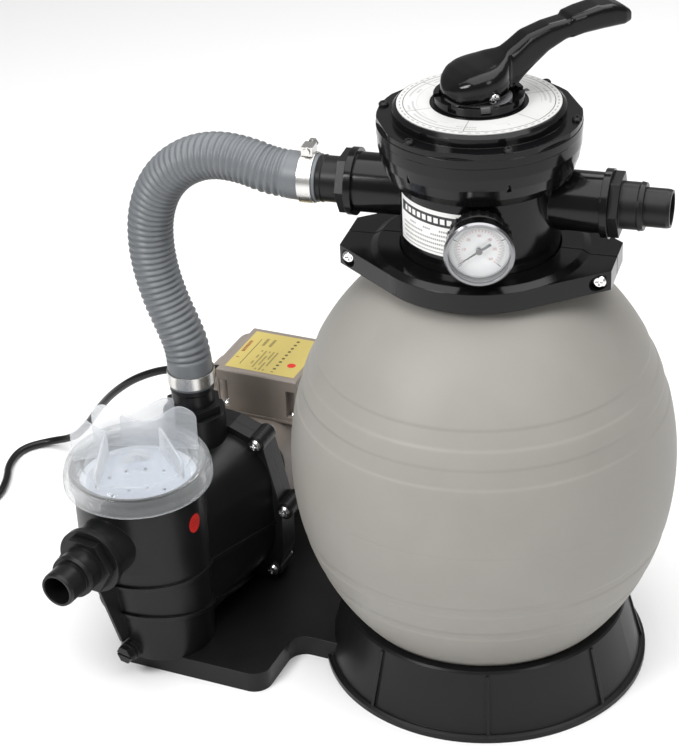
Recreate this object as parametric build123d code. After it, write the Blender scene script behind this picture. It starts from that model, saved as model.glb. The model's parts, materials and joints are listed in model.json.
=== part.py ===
from build123d import *
from math import asin, atan2, cos, degrees, radians, sin, sqrt, tan
import os

# A sand filter and its pump on one moulded base. Millimetres, +Z up, floor at z = 0.
# The origin is the middle of the base's round floor, on the tank's axis.
# The pump stands on the -X side of the tank, with its shaft along Y.

# base and tank
tank_radius = 167.5
tank_half_height = 203.6
tank_middle = 206.7
tank_wall = 4.0
tank_underside = 8.0
tank_floor = 14.0
tank_shoulder = 393.0
tank_opening = 56.0
flange_radius = 74.0
flange_thickness = 5.0
seam_height = 403.0
foot_radius = 146.0
skirt_height = 62.0
skirt_top_radius = 127.5
rib_step = 45.0
first_rib = -23.5
deck_height = 20.0
deck_wall = 4.0
deck_front = -144.5
deck_left = -308.0
deck_right = -157.0

# clamp collar, valve and gauge
ear_seat = 28.2
valve_turn = 6.9
neck_radius = 66.0
pipe_radius = 16.0
port_height = 456.0
port_radius = 25.0
port_bore = 19.0
port_reach = 109.0
drum_radius = 82.5
valve_deck = 489.0
lid_joint = 514.0
lid_top = 536.0
screw_ring = 77.0
label_outer = 66.2
label_inner = 39.7
stem_radius = 12.25
running_gap = 0.05
lever_turn = 48.8
pin_height = 547.5
hub_underside = 541.0
hub_radius = 27.8
hub_shift = -3.5
stem_top = 538.4
lever_reach = 137.5
gauge_turn = -70.0
gauge_height = 449.0
gauge_radius = 27.0
cap_face = 84.0

# pump and motor
shaft_x = -282.0
shaft_height = 104.0
shaft_radius = 8.0
pot_x = -283.0
pot_y = -113.0
pot_radius = 58.0
pot_wall = 4.0
pot_knee = 120.0
pot_top = 198.0
pot_foot_x = -269.0
pot_foot_radius = 44.0
inlet_turn = -95.5
inlet_height = 147.0
inlet_reach = 83.0
outlet_x = -275.0
outlet_y = -17.0
outlet_height = 204.0
boss_radius = 28.5
drain_turn = -103.0
drain_height = 30.0
volute_radius = 66.0
volute_front = -36.0
flange_front = -6.0
flange_back = 6.0
flange_reach = 84.0
bolt_lug = 8.5
bracket_back = 20.0
engine_y = 14.0
motor_width = 140.0
motor_top = 153.0
motor_bottom = 55.0
motor_back = 152.0
motor_bore = 46.0
fan_end = 198.0
box_left = -293.0
box_right = -209.0
box_front = 62.0
box_back = 146.0
box_top = 200.0
gland_y = 106.0
gland_height = 168.0

# stepped hose adapter, hose and cord
adapter_hex = 8.0
adapter_step = 27.0
adapter_length = 48.0
hose_draft = 0.3
hose_ends = ("valve_pump_adapter", "discharge_adapter")
adapter_shank = 14.0
hose_radius = 20.8
hose_bore = 16.3
clamp_width = 12.0
cord_radius = 4.0
coil_radius = 44.0
coil_half_width = 8.0
coil_height = 16.0
coil_start = (-600.0, -18.0)
coil_heading = (-0.8, -0.6)

hose_route = [
    (outlet_x, outlet_y, outlet_height + adapter_step + 0.3), (outlet_x, outlet_y, 264), (-283, -17, 288),
    (-293, -17, 312), (-301, -17, 340), (-304, -17, 370), (-301, -17, 400), (-288, -17, 430),
    (-265, -17, 452), (-236, -17.5, 464), (-204, -19.5, 464.5), (-171.8, -20.8, port_height),
    (-135.3, -16.4, port_height),
]
cord_route = [
    (-322, gland_y, gland_height), (-362, 103, 165), (-402, 101, 148), (-436, 108, 120), (-466, 122, 86),
    (-494, 141, 49), (-523, 157, 18), (-556, 160, 5), (-578, 138, 4.2), (-575, 106, 4.2), (-560, 78, 4.2),
    (-552, 48, 4.2), (-561, 18, 4.2), (-579, -2.3, 4.2),
]

parts = {}


def disc(radius, low, high, x=0.0, y=0.0):
    """A round plate or bar about a vertical axis."""
    return Pos(x, y, (low + high) / 2) * Cylinder(radius, high - low)


def ring(outer, inner, low, high, x=0.0, y=0.0):
    """A flat ring about a vertical axis."""
    return disc(outer, low, high, x, y) - disc(inner, low - 1, high + 1, x, y)


def block(x_low, x_high, y_low, y_high, z_low, z_high):
    """A plain box between two corners."""
    middle = ((x_low + x_high) / 2, (y_low + y_high) / 2, (z_low + z_high) / 2)
    return Pos(*middle) * Box(x_high - x_low, y_high - y_low, z_high - z_low)


def turned(*corners):
    """A solid turned about +Z from (radius, height) corners."""
    outline = Polyline(*[(radius, 0, height) for radius, height in corners], close=True)
    return revolve(make_face(outline), Axis.Z, 360)


def facing(shape, at, direction, across=None):
    """Puts a shape drawn about +Z at a point, with its +Z along a direction."""
    place = Plane(origin=at, x_dir=across, z_dir=direction) if across else Plane(origin=at, z_dir=direction)
    return place.location * shape


def backward(shape, y=0.0):
    """Puts a shape drawn about +Z on the pump's shaft line, with its +Z along +Y."""
    return facing(shape, (shaft_x, y, shaft_height), (0, 1, 0), (1, 0, 0))


def hexagon(across_flats, low, high):
    """A hexagonal bar about +Z."""
    return Pos(0, 0, low) * extrude(RegularPolygon(across_flats / sqrt(3), 6), high - low)


def rubber_ring(middle_radius, section_radius, height=0.0):
    """A ring of round section about +Z."""
    return Pos(0, 0, height) * Torus(middle_radius, section_radius)


def around(shape, count, start=0.0):
    """Copies of a shape, evenly spaced about +Z, as separate solids."""
    return [Rot(0, 0, start + 360 / count * index) * shape for index in range(count)]


def heading(angle):
    """The level direction at an angle from +X."""
    return (cos(radians(angle)), sin(radians(angle)), 0)


def on_ray(angle, distance, height, x=0.0, y=0.0):
    """The point at an angle and distance from a vertical axis."""
    return (x + distance * cos(radians(angle)), y + distance * sin(radians(angle)), height)


def tank_radius_at(height):
    """The tank's outer radius at a height: an ellipse about its middle."""
    share = (height - tank_middle) / tank_half_height
    return tank_radius * sqrt(1 - share * share)


def corner_radii(route):
    """One bend radius for each corner of a route: as large as its two runs allow."""
    radii = []
    for before, corner, after in zip(route, route[1:], route[2:]):
        arriving = Vector(*corner) - Vector(*before)
        leaving = Vector(*after) - Vector(*corner)
        half_turn = radians(arriving.get_angle(leaving)) / 2
        radii.append(0.45 * min(arriving.length, leaving.length) / tan(half_turn))
    return radii


def bent_path(route):
    """Straight runs joined by tangent arcs."""
    return FilletPolyline(*route, radius=corner_radii(route))


def bent_tube(route, radius, bore=0.0):
    """A round tube, or a hose with a bore, along a route."""
    path = bent_path(route)
    start = Plane(origin=route[0], z_dir=Vector(*route[1]) - Vector(*route[0]))
    section = start * Circle(radius)
    if bore:
        section -= start * Circle(bore)
    return sweep(section, path=path)


def pan_screw(head_radius, shank_radius, length, head_height=3.5):
    """A pan-head screw about +Z: its head's seat is at z = 0 and its shank runs down."""
    head = turned((0, 0), (head_radius, 0), (head_radius, head_height * 0.5),
                  (head_radius * 0.7, head_height),
                  (0, head_height))
    blade = Box(head_radius * 1.1, head_radius * 0.24, head_height)
    slot = blade + Rot(0, 0, 90) * blade
    return head - Pos(0, 0, head_height) * slot + disc(shank_radius, -length, 0.5)


def skirt():
    """The flared cup that the tank stands in."""
    seat = tank_radius_at(skirt_height) + 0.5
    cup = turned((0, 0), (foot_radius, 0), (foot_radius, 5), (143, 6.5), (141, 6.5),
                 (skirt_top_radius, skirt_height - 2),
                 (skirt_top_radius - 1.5, skirt_height), (seat, skirt_height), (seat - 2.5, 57),
                 (seat + 2, 57),
                 (122.5, 54), (136, 6), (134, deck_wall), (0, deck_wall))
    pad = ring(34, 20, deck_wall - 1, tank_underside)
    fin_side = Polyline((121, 0, 50), (121, 0, skirt_height - 3), (129.4, 0, skirt_height - 3), (144, 0, 5),
                        (136, 0, 5),
                        close=True)
    fin = extrude(make_face(fin_side), 1.6, both=True)
    shape = cup + pad
    for index in range(8):
        angle = first_rib + rib_step * index
        if cos(radians(angle)) > -0.8:
            shape += Rot(0, 0, angle) * fin
    return shape


def foot_screw_places():
    """Where four screws go down through the motor's foot into the deck."""
    return [(shaft_x + side * 18, y) for side in (-1, 1) for y in (92, 132)]


def base_stand():
    """The moulded base: a hollow deck under the pump, a waist, and the tank's skirt."""
    middle = (deck_left + deck_right) / 2
    outline = RectangleRounded(deck_right - deck_left, -2 * deck_front, 16)
    deck = Pos(middle, 0, 0) * extrude(outline, deck_height)
    waist = block(deck_right - 20, -112, -76, 76, 0, deck_height)
    pocket = block(deck_left + deck_wall, deck_right - deck_wall, deck_front + deck_wall,
                   -deck_front - deck_wall,
                   -1, deck_height - deck_wall)
    for side in (-1, 1):
        for end in (-1, 1):
            corner = block(-14, 14, -14, 14, -2, deck_height)
            x = middle + side * (deck_right - deck_left) / 2
            pocket -= Pos(x, -end * deck_front, 0) * corner
    shape = deck + waist - pocket - block(deck_right - 2, -140, -72, 72, -1, deck_height - deck_wall)
    for index in range(4):
        y = -90 + 60 * index
        shape += block(deck_left + 2, deck_right - 2, y - 1.5, y + 1.5, 0, deck_height - 2)
    for side in (-1, 1):
        corner = block(deck_right - 2, deck_right + 16, 72, 92, 0, deck_height)
        corner -= disc(16, -1, deck_height + 1, deck_right + 16, 92)
        shape += corner if side == 1 else corner.mirror(Plane.XZ)
    shape = shape - disc(foot_radius - 9, -1, deck_height + 1) + skirt()
    for x, y in foot_screw_places():
        shape = shape + disc(6, 2, deck_height - 2, x, y) - disc(2.1, 4, deck_height + 1, x, y)
    return shape


def tank_shell():
    """A blown shell: two nested ellipses turned about the axis, with a flat foot and a flanged mouth."""
    def arc(inset, low, high):
        height = tank_half_height - inset
        ends = [degrees(asin((z - tank_middle) / height)) for z in (low, high)]
        return EllipticalCenterArc((0, tank_middle), tank_radius - inset, height, ends[0],
                                   arc_size=ends[1] - ends[0])
    outer = arc(0, tank_underside, tank_shoulder)
    inner = arc(tank_wall, tank_floor, tank_shoulder - 3)
    low_flange = seam_height - flange_thickness
    mouth = Polyline(outer @ 1, (67, low_flange), (flange_radius, low_flange), (flange_radius, seam_height),
                     (tank_opening, seam_height), (tank_opening, tank_shoulder + 1), inner @ 1)
    foot = Polyline(inner @ 0, (0, tank_floor), (0, tank_underside), outer @ 0)
    profile = make_face([outer, mouth, inner, foot])
    return revolve(Rot(90, 0, 0) * profile, Axis.Z, 360)


def standpipe():
    return ring(pipe_radius, pipe_radius - 2.5, 58, 478)


def lateral_hub():
    """The hub that the standpipe plugs into and the slotted fingers screw into."""
    shape = disc(24, 32, 66) + disc(12, tank_floor, 33) - disc(pipe_radius + 0.1, 58, 67) - disc(13, 40, 59)
    for index in range(8):
        shape -= Rot(0, 0, 45 * index) * facing(disc(5.1, 10, 30), (0, 0, 48), (1, 0, 0))
    return shape


def laterals():
    """Eight slotted fingers that collect the clean water."""
    finger = disc(5, 14, 30) + disc(6.5, 24.2, 88) - disc(3.5, 12, 84)
    for index in range(7):
        finger -= Pos(0, 0, 34 + 7 * index) * Box(20, 4, 0.8)
    return [Rot(0, 0, 45 * index) * facing(finger, (0, 0, 48), (1, 0, 0)) for index in range(8)]


def collar_half(side):
    """One half of the clamp ring with its two bolting ears; side is -1 in front, +1 behind."""
    low, high = 392.0, 409.0
    top = seam_height + flange_thickness
    plan = Circle(91)
    for end in (-1, 1):
        ear = Polyline((end * 20, 0), (end * 20, side * 70), (end * 60, side * 68.4),
                       (end * 114, side * 26), (end * 114, 0),
                       close=True)
        plan += make_face(ear)
    body = Pos(0, 0, low) * extrude(plan, high - low)
    body += turned((60, high - 1), (91, high - 1), (91, high), (85, 412.5), (60, 412.5))
    body -= turned((0, 380), (70.4, 380), (70.4, 397.7), (flange_radius + 0.4, 397.7),
                   (flange_radius + 0.4, top + 0.2),
                   (67, top + 0.2), (67, 420), (0, 420))
    keep = block(-130, 130, side * 0.8 - 60 + side * 60, side * 0.8 + 60 + side * 60, 380, 420)
    body = body & keep
    for end in (-1, 1):
        body -= facing(disc(3.3, -40, 40), (end * 105, 0, 400.5), (0, 1, 0))
        body -= facing(disc(7, ear_seat - 0.1, 60), (end * 105, 0, 400.5), (0, side, 0))
    return Rot(0, 0, valve_turn) * body


def collar_bolts():
    """Two bolts, front to back through the ears, each with a washer-faced nut."""
    pieces = []
    for end in (-1, 1):
        bolt = facing(pan_screw(5.6, 3, 62), (end * 105, -ear_seat, 400.5), (0, -1, 0))
        nut = hexagon(10, 0, 5) - disc(3.02, -1, 6)
        pieces += [bolt, facing(nut, (end * 105, ear_seat, 400.5), (0, 1, 0))]
    return [Rot(0, 0, valve_turn) * piece for piece in pieces]


def port(reach, wall=port_radius):
    """A side port about +X: a tube with a thicker rim."""
    tube = disc(wall, neck_radius - 8, reach - 4) + disc(wall + 3.5, reach - 6, reach)
    return facing(tube, (0, 0, port_height), (1, 0, 0))


def valve_body():
    """The six-way valve's lower half: foot flange, neck, drum, ports and the deck that the rotor closes."""
    outer = turned((0, seam_height), (flange_radius, seam_height),
                   (flange_radius, seam_height + flange_thickness),
                   (66.4, seam_height + flange_thickness), (65.4, 419), (neck_radius, 424),
                   (neck_radius, 474),
                   (70, 477), (75, 478.5), (78, 485), (80.8, 494), (drum_radius, 504),
                   (drum_radius, lid_joint), (0, lid_joint))
    shape = outer
    for angle, reach in ((0, port_reach), (180, port_reach), (90, 98)):
        shape += Rot(0, 0, angle) * port(reach)
    boss = facing(disc(20, 50, 72), (0, 0, gauge_height), heading(gauge_turn - valve_turn))
    shape += boss
    shape -= disc(60, seam_height - 1, 483) + disc(76, valve_deck, lid_joint + 1)
    shape -= ring(54, 24, 480, valve_deck + 1)
    shape -= ring(66.4, 62.1, seam_height - 1, seam_height + 3.9)
    inside = ring(61, 20, 421, 425) - block(20, 60, -20, 20, 420, 426)
    inside += ring(20.5, pipe_radius + 0.3, 421, valve_deck)
    webs = block(-61, 61, -2, 2, 424, valve_deck) + block(-2, 2, -61, 61, 424, valve_deck)
    shape += Rot(0, 0, 45) * (webs - disc(20, 420, 500)) + inside
    for angle in (0, 180, 90):
        shape -= Rot(0, 0, angle) * facing(disc(port_bore, 40, 120), (0, 0, port_height), (1, 0, 0))
    shape -= facing(disc(12, 40, 90), (0, 0, gauge_height), heading(gauge_turn - valve_turn))
    for index in range(6):
        shape -= Rot(0, 0, 60 * index) * disc(1.9, lid_joint - 22, lid_joint + 1, screw_ring + 2.4)
    return Rot(0, 0, valve_turn) * shape


def valve_lid():
    """The valve's cover: a six-cornered screw flange, a raised crown and the notched ring round the lever."""
    shape = turned((12.3, 529.5), (60, 529.5), (63, 526), (63, lid_joint), (drum_radius + 0.6, lid_joint),
                   (drum_radius + 0.6, 521), (70.5, 521), (70, 533), (67.5, lid_top - 0.5),
                   (12.3, lid_top - 0.5))
    corners = RegularPolygon(93, 6) & Circle(drum_radius + 0.2)
    shape += Pos(0, 0, 520) * extrude(corners - Circle(69), 6)
    crown = ring(36.5, 32, lid_top - 1, 544)
    for index in range(8):
        crown -= Rot(0, 0, 45 * index + 22.5) * block(30, 38, -4, 4, 538.5, 545)
    shape += crown
    for index in range(6):
        shape -= Rot(0, 0, 60 * index) * disc(2.3, lid_joint - 1, 530, screw_ring + 2.4)
    return Rot(0, 0, valve_turn) * shape


def valve_lid_screws():
    screw = Pos(screw_ring + 2.4, 0, 526) * pan_screw(4.2, 1.85, 28, 3.2)
    return [Rot(0, 0, valve_turn) * piece for piece in around(screw, 6)]


def adapter_places():
    """Where the four stepped adapters screw in: a point on each port's face and its outward direction."""
    left, right = valve_turn + 180, valve_turn
    return {
        "valve_pump_adapter": (on_ray(left, port_reach, port_height), heading(left)),
        "valve_return_adapter": (on_ray(right, port_reach, port_height), heading(right)),
        "suction_adapter": (on_ray(inlet_turn, inlet_reach, inlet_height, pot_x, pot_y), heading(inlet_turn)),
        "discharge_adapter": ((outlet_x, outlet_y, outlet_height), (0, 0, 1)),
    }


def stepped_adapter(draft):
    """A hose adapter about +Z: threaded shank, hexagon with a seal groove, and two steps for the hose."""
    shape = turned((0, -adapter_shank), (port_bore - 0.15, -adapter_shank), (port_bore - 0.15, 0.2), (0, 0.2))
    shape += hexagon(47, 0.1, adapter_hex)
    shape += turned((0, adapter_hex - 1), (19.4, adapter_hex - 1), (19.4, 22), (20.2, 23),
                    (19.4, adapter_step),
                    (16, adapter_step), (16 - draft, adapter_length - 3), (15.2, adapter_length),
                    (0, adapter_length))
    shape -= disc(13, -adapter_shank - 1, adapter_length + 1)
    return shape - ring(22.7, 19.4, 0, 3.2)


def still_seals():
    """Rubber rings that never move: under each adapter, in the tank's mouth and behind the volute."""
    rings = [facing(rubber_ring(21.05, 1.5, 1.55), at, direction)
             for at, direction in adapter_places().values()]
    rings.append(rubber_ring(64.2, 1.85, seam_height + 1.9))
    rings.append(backward(rubber_ring(69.3, 1.6, flange_back + 1.7)))
    return rings


def rotor():
    """The valve's rotor: a windowed disc with a stem that passes up through the cover."""
    window = ring(53, 25, 490, 500) & block(0, 60, 0, 60, 485, 505)
    shape = disc(72, 491.6, 497) - Rot(0, 0, 48) * window
    shape += disc(14, 496, 506) + disc(stem_radius, 505, stem_top)
    shape += Rot(0, 0, lever_turn) * block(-8, 8, -8.5, 8.5, stem_top - 1, 557)
    shape -= ring(stem_radius + 2, 9.7, 530.6, 533.4)
    return shape - Rot(0, 0, lever_turn) * facing(disc(3, -20, 20), (0, 0, pin_height), (0, 1, 0))


def stem_seal():
    return rubber_ring(11.0, 1.2, 532)


def rotor_spring():
    """The coil spring that holds the rotor down on its gasket."""
    rise = 28.6
    coil = Helix(pitch=rise / 4.5, height=rise, radius=17.5)
    wire = sweep(Plane(origin=coil @ 0, z_dir=coil % 0) * Circle(1.4), path=coil, is_frenet=True)
    return Pos(0, 0, 498.6) * wire


def spider_gasket():
    """The flat rubber gasket between the ports' deck and the rotor."""
    shape = ring(75.4, 56, valve_deck + 0.1, 491.2) + ring(24, 20.6, valve_deck + 0.1, 491.2)
    for angle in (45, 135):
        spoke = Rot(0, 0, angle) * block(-57, 57, -2, 2, valve_deck + 0.1, 491.2)
        shape += spoke - disc(22, 480, 500)
    return Rot(0, 0, valve_turn) * shape


def position_ring():
    """The printed ring that names the valve's positions."""
    return ring(label_outer, label_inner, lid_top - 0.45, lid_top + 0.3)


def thrust_washer():
    return ring(26.5, stem_radius + 0.35, lid_top - 0.2, hub_underside - 0.3)


def valve_handle():
    """The lever: a domed hub over the stem, a rising neck and a thick grip."""
    hub = turned((0, hub_underside), (hub_radius - 4, hub_underside), (hub_radius - 1, 544),
                 (hub_radius, 553),
                 (hub_radius - 3, 566), (18, 574), (9, 577), (0, 577))
    hub = Pos(hub_shift, 0, 0) * hub
    top = Spline((0, 575), (19, 578.5), (41, 587), (62, 593), (84, 596))
    under = Spline((84, 575), (70, 570.5), (56, 562.5), (43, 552.5), (26, 545))
    neck_side = make_face([top, Line(top @ 1, under @ 0), under, Line(under @ 1, top @ 0)])
    neck = Rot(90, 0, 0) * extrude(neck_side, 10.5, both=True)
    grip_side = Polyline((80, 574.5), (80, 596.5), (92, 598.5), (118, 596.5), (lever_reach - 3, 591),
                         (lever_reach, 585),
                         (lever_reach - 2, 575.5), close=True)
    grip = Rot(90, 0, 0) * extrude(make_face(grip_side), 13, both=True)
    shape = hub + neck + grip
    shape -= block(-14.5, 14.5, -9, 9, hub_underside - 1, 563)
    shape -= facing(disc(3.05, -40, 40), (0, 0, pin_height), (0, 1, 0))
    for side in (-1, 1):
        shape -= facing(disc(5.2, 24, 40), (0, 0, pin_height), (0, side, 0))
    return Rot(0, 0, lever_turn) * shape


def handle_pin():
    """The cross-headed steel pin through the lever's hub and the stem."""
    pin = Pos(0, 0, 24.2) * pan_screw(4.9, 2.95, 50, 3)
    return Rot(0, 0, lever_turn) * facing(pin, (0, 0, pin_height), (0, -1, 0))


def gauge_line(shape):
    """Puts a shape drawn about +Z, from the tank's axis outward, on the gauge's line."""
    return facing(shape, (0, 0, gauge_height), heading(gauge_turn))


def gauge_cap():
    """The ribbed plug that the pressure gauge screws into."""
    shape = turned((0, 56), (11.9, 56), (11.9, 72.2), (25, 72.2), (25, 80), (22, cap_face), (0, cap_face))
    for index in range(24):
        shape += Rot(0, 0, 15 * index) * block(24, 26, -1.2, 1.2, 72.4, 80)
    return gauge_line(shape - disc(4.1, 50, 90))


def gauge_case():
    """The gauge's steel case with its threaded stem and rolled bezel."""
    shape = turned((0, 62), (4, 62), (4, cap_face + 0.2), (gauge_radius - 3, cap_face + 0.2),
                   (gauge_radius, cap_face + 3),
                   (gauge_radius, 95), (gauge_radius + 1, 95.5), (gauge_radius + 1, 99),
                   (gauge_radius - 0.5, 100.5),
                   (24.5, 100.5), (24.5, 98.3), (25.2, 98.3), (25.2, 89), (0, 89))
    return gauge_line(shape)


def gauge_dial():
    return gauge_line(ring(25, 1.6, 89.1, 90))


def gauge_needle():
    """The pointer on its little shaft, resting at the bottom left of the scale."""
    blade = Polyline((-1.2, -11), (1.2, -11), (0.9, 0), (0.25, 20), (-0.25, 20), (-0.9, 0), close=True)
    shape = Pos(0, 0, 93.2) * extrude(make_face(blade), 0.6) + disc(2.6, 92.8, 94.6) + disc(1.1, 89.3, 93)
    place = Plane(origin=(0, 0, gauge_height), x_dir=heading(gauge_turn + 90), z_dir=heading(gauge_turn))
    return place.location * (Rot(0, 0, 124) * shape)


def gauge_lens():
    return gauge_line(disc(25, 96.5, 98.1))


def waste_cap():
    """The blanking cap on the rear port, with grip bars."""
    shape = turned((0, -12), (port_bore - 0.15, -12), (port_bore - 0.15, 0.3), (28, 0.3), (28, 9), (26, 11),
                   (0, 11))
    shape -= ring(22.7, port_bore + 0.4, 0, 3.3) + disc(15, -13, 5)
    for index in range(6):
        shape += Rot(0, 0, 60 * index) * block(8, 27, -1.5, 1.5, 10, 17)
    shape += disc(9, 10, 17)
    return facing(shape, on_ray(valve_turn + 90, 98, port_height), heading(valve_turn + 90))


def waste_cap_seal():
    return facing(rubber_ring(21.05, 1.45, 1.6), on_ray(valve_turn + 90, 98, port_height),
                  heading(valve_turn + 90))


def transfer_hose():
    return bent_tube(hose_route, hose_radius, hose_bore)


def hose_clamps():
    """Two worm-drive clamps: a band, a screw housing and a hexagon screw each."""
    pieces = []
    ends = ((hose_route[0], hose_route[1], (-0.6, 0.8, 0)), (hose_route[-1], hose_route[-2], (0, 0, 1)))
    for end, inner, side in ends:
        run = (Vector(*inner) - Vector(*end)).normalized()
        across = (Vector(*side) - run * Vector(*side).dot(run)).normalized()
        band = ring(hose_radius + 1, hose_radius + 0.15, -clamp_width / 2, clamp_width / 2)
        housing = block(hose_radius + 0.8, hose_radius + 8.5, -6.5, 6.5, -5, 5)
        bore = facing(disc(3.1, -20, 20), (hose_radius + 4.8, 0, 0), (0, 1, 0))
        screw = facing(disc(2.9, -8, 9) + hexagon(8, 8, 13), (hose_radius + 4.8, 0, 0), (0, 1, 0))
        place = Plane(origin=Vector(*end) + run * 9, x_dir=across, z_dir=run).location
        pieces += [place * (band + housing - bore), place * screw]
    return pieces


def pot_radius_at(height, extra=0.0):
    """The strainer pot's centre and radius at a height: a slanted taper below the knee."""
    share = min(1.0, (height - deck_height) / (pot_knee - deck_height))
    centre = pot_foot_x + (pot_x - pot_foot_x) * share
    return centre, pot_foot_radius + (pot_radius - pot_foot_radius) * share + extra


def pot_solid(low, high, extra=0.0):
    """The pot's slanted lower part between two heights, lofted, and its straight part above the knee."""
    sections = []
    for height in (low, min(high, pot_knee)):
        centre, radius = pot_radius_at(height, extra)
        sections.append(Pos(centre, pot_y, height) * Circle(radius))
    shape = loft(sections)
    if high > pot_knee:
        shape += disc(pot_radius + extra, pot_knee, high, pot_x, pot_y)
    return shape


def shell_section(y, width, low, high, corner, x):
    """A rounded rectangle in a plane across the pump's shaft."""
    outline = RectangleRounded(width, high - low, corner)
    return Plane(origin=(x, y, (low + high) / 2), x_dir=(1, 0, 0), z_dir=(0, 1, 0)) * outline


def volute_skin(extra=0.0):
    """The moulded body that widens from the pot to the bolted flange."""
    front = shell_section(-104, 98 + 2 * extra, 24 - extra, 166 + extra, 24, pot_x + 3)
    back = shell_section(flange_front + 0.5, 152 + 2 * extra, 24 - extra, 177 + extra, 52, shaft_x)
    return loft([front, back])


def flange_bolts():
    """Where the flange screws stand, across and below the shaft."""
    return [(61.5, -65), (87, 2), (71, 71), (-71, 71), (-87, 2)]


def flange_plate(front, back):
    """The bolted outline across the shaft: bulged sides, a lug at each screw, one corner cut away."""
    side = [(flange_reach, 4), (68, -67), (36, -79.5), (-4.8, -84), (-flange_reach, -36), (-flange_reach, 4)]
    foot = [(-83, 52), (-73, 82), (73, 82), (83, 52)]
    plate = Pos(0, 0, front) * extrude(make_face(Polyline(*side, *foot, close=True)), back - front)
    for x, y in flange_bolts():
        plate += Pos(x, y, 0) * disc(bolt_lug, front, back)
    return backward(plate) - block(shaft_x - 150, shaft_x + 150, -50, 50, -50, deck_height + 2)


def suction_line(shape):
    """Puts a shape drawn about +Z, from the pot's axis outward, on the suction port's line."""
    return facing(shape, (pot_x, pot_y, inlet_height), heading(inlet_turn))


def drain_line(shape):
    """Puts a shape drawn about +Z, from the pot's foot outward, on the drain's line."""
    return facing(shape, (pot_foot_x, pot_y, drain_height), heading(drain_turn))


def pump_body():
    """Strainer pot, suction port, volute, discharge boss and bolting flange, moulded as one."""
    shape = pot_solid(deck_height, 190) + disc(60.5, 184, pot_top, pot_x, pot_y) + volute_skin()
    shape += flange_plate(flange_front, flange_back)
    boss = disc(boss_radius, 140, outlet_height, outlet_x, outlet_y)
    shape += boss - block(-400, -200, flange_back, 60, 100, 300)
    shape += suction_line(disc(boss_radius - 1, 40, inlet_reach - 4)
                          + disc(boss_radius + 2, inlet_reach - 6, inlet_reach))
    shape += drain_line(disc(9.5, 30, 51))
    fin = Polyline((0, 56, 42), (0, 80, 122), (0, 60, 122), (0, 40, 60), (0, 40, 42), close=True)
    fin_plate = extrude(make_face(fin), 1.6, both=True)
    shape += Pos(pot_foot_x - 4, pot_y, 0) * Rot(0, 0, drain_turn - 90) * fin_plate
    grown = pot_solid(deck_height, 150, 2.2) + volute_skin(2.0)
    grown = grown & block(-400, -150, -200, flange_front, 24, 160)
    for height, tilt in ((95.4, -6), (50.6, -14.4)):
        shape += grown & (Pos(shaft_x, -85, height) * Rot(tilt, 0, 0) * Box(240, 200, 3.5))
    shape += block(shaft_x - 34, shaft_x + 34, -70, flange_back, deck_height, 40)
    mouth = disc(pot_radius - pot_wall, 189, pot_top + 1, pot_x, pot_y)
    shape -= pot_solid(deck_height + 5, 190, -pot_wall) + mouth
    shape += ring(pot_radius - pot_wall + 0.5, 50.2, 176, 181.9, pot_x, pot_y)
    passage_front = shell_section(-100, 70, 36, 150, 20, pot_x + 3)
    passage_back = shell_section(volute_front - 10, 100, 44, 156, 30, shaft_x)
    shape -= loft([passage_front, passage_back])
    shape -= backward(disc(19, volute_front - 11, volute_front + 1)
                      + disc(volute_radius, volute_front, flange_back + 1))
    shape -= disc(port_bore - 1.5, 150, outlet_height + 1, outlet_x, outlet_y)
    shape -= disc(port_bore, outlet_height - adapter_shank - 2, outlet_height + 1, outlet_x, outlet_y)
    shape -= suction_line(disc(port_bore, 40, inlet_reach + 1))
    shape -= drain_line(disc(5.1, 30, 60))
    for x, y in flange_bolts():
        shape -= backward(disc(3.3, flange_front - 5, flange_back + 1, x, y))
        shape -= backward(disc(6.6, flange_front - 30, flange_front, x, y))
    return shape


def strainer_lid():
    """The clear cover: a skirted ring, a dished window and four upright grip fins."""
    shape = turned((61, 185), (65, 184), (66.5, 186), (66.5, 196), (65, 198), (65, 204), (62, 207),
                   (50, 208), (47, 203.5),
                   (20, 205), (0, 205.5), (0, 202.5), (20, 202), (46.5, 200.3), (57.5, 200.3), (61, 200.3))
    for index in range(40):
        shape += Rot(0, 0, 9 * index) * disc(1.3, 184.6, 188.5, 65.9)
    side = Polyline((11, 0, 204), (11, 0, 226), (26, 0, 230), (38, 0, 243), (47, 0, 248), (54, 0, 246),
                    (58, 0, 238), (57, 0, 218),
                    (49, 0, 206.5), (44, 0, 202.5), close=True)
    fin = extrude(make_face(side), 1.4, both=True)
    web = ring(13, 10, 203, 226)
    for angle in (31 + 22, 31 - 22, 31 + 202, 31 + 158):
        shape += Rot(0, 0, angle) * fin
    return Pos(pot_x, pot_y, 0) * (shape + web)


def strainer_lid_seal():
    return Pos(pot_x, pot_y, 0) * rubber_ring(57.3, 0.9, pot_top + 1.2)


def strainer_basket():
    """The lift-out basket: a tapered cup with rows of square holes, hung by its rim."""
    top, bottom = 186.0, 75.0
    shape = turned((0, bottom), (37, bottom), (48.5, top - 4), (52.5, top - 4), (52.5, top), (46.5, top),
                   (35, bottom + 2.5), (0, bottom + 2.5))
    hole = Box(14, 3.4, 3.4)
    holes = []
    for row in range(5):
        height = bottom + 14 + 19 * row
        radius = 37 + 11.5 * (height - bottom) / (top - 4 - bottom)
        holes += [Pos(0, 0, height) * Rot(0, 0, 22.5 * index) * Pos(radius, 0, 0) * hole
                  for index in range(16)]
    for x in range(-4, 5):
        for y in range(-4, 5):
            if x * x + y * y < 18:
                holes.append(Pos(5.4 * x, 5.4 * y, bottom + 1) * Box(3.2, 3.2, 8))
    return Pos(pot_x, pot_y, 0) * (shape - holes)


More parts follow.
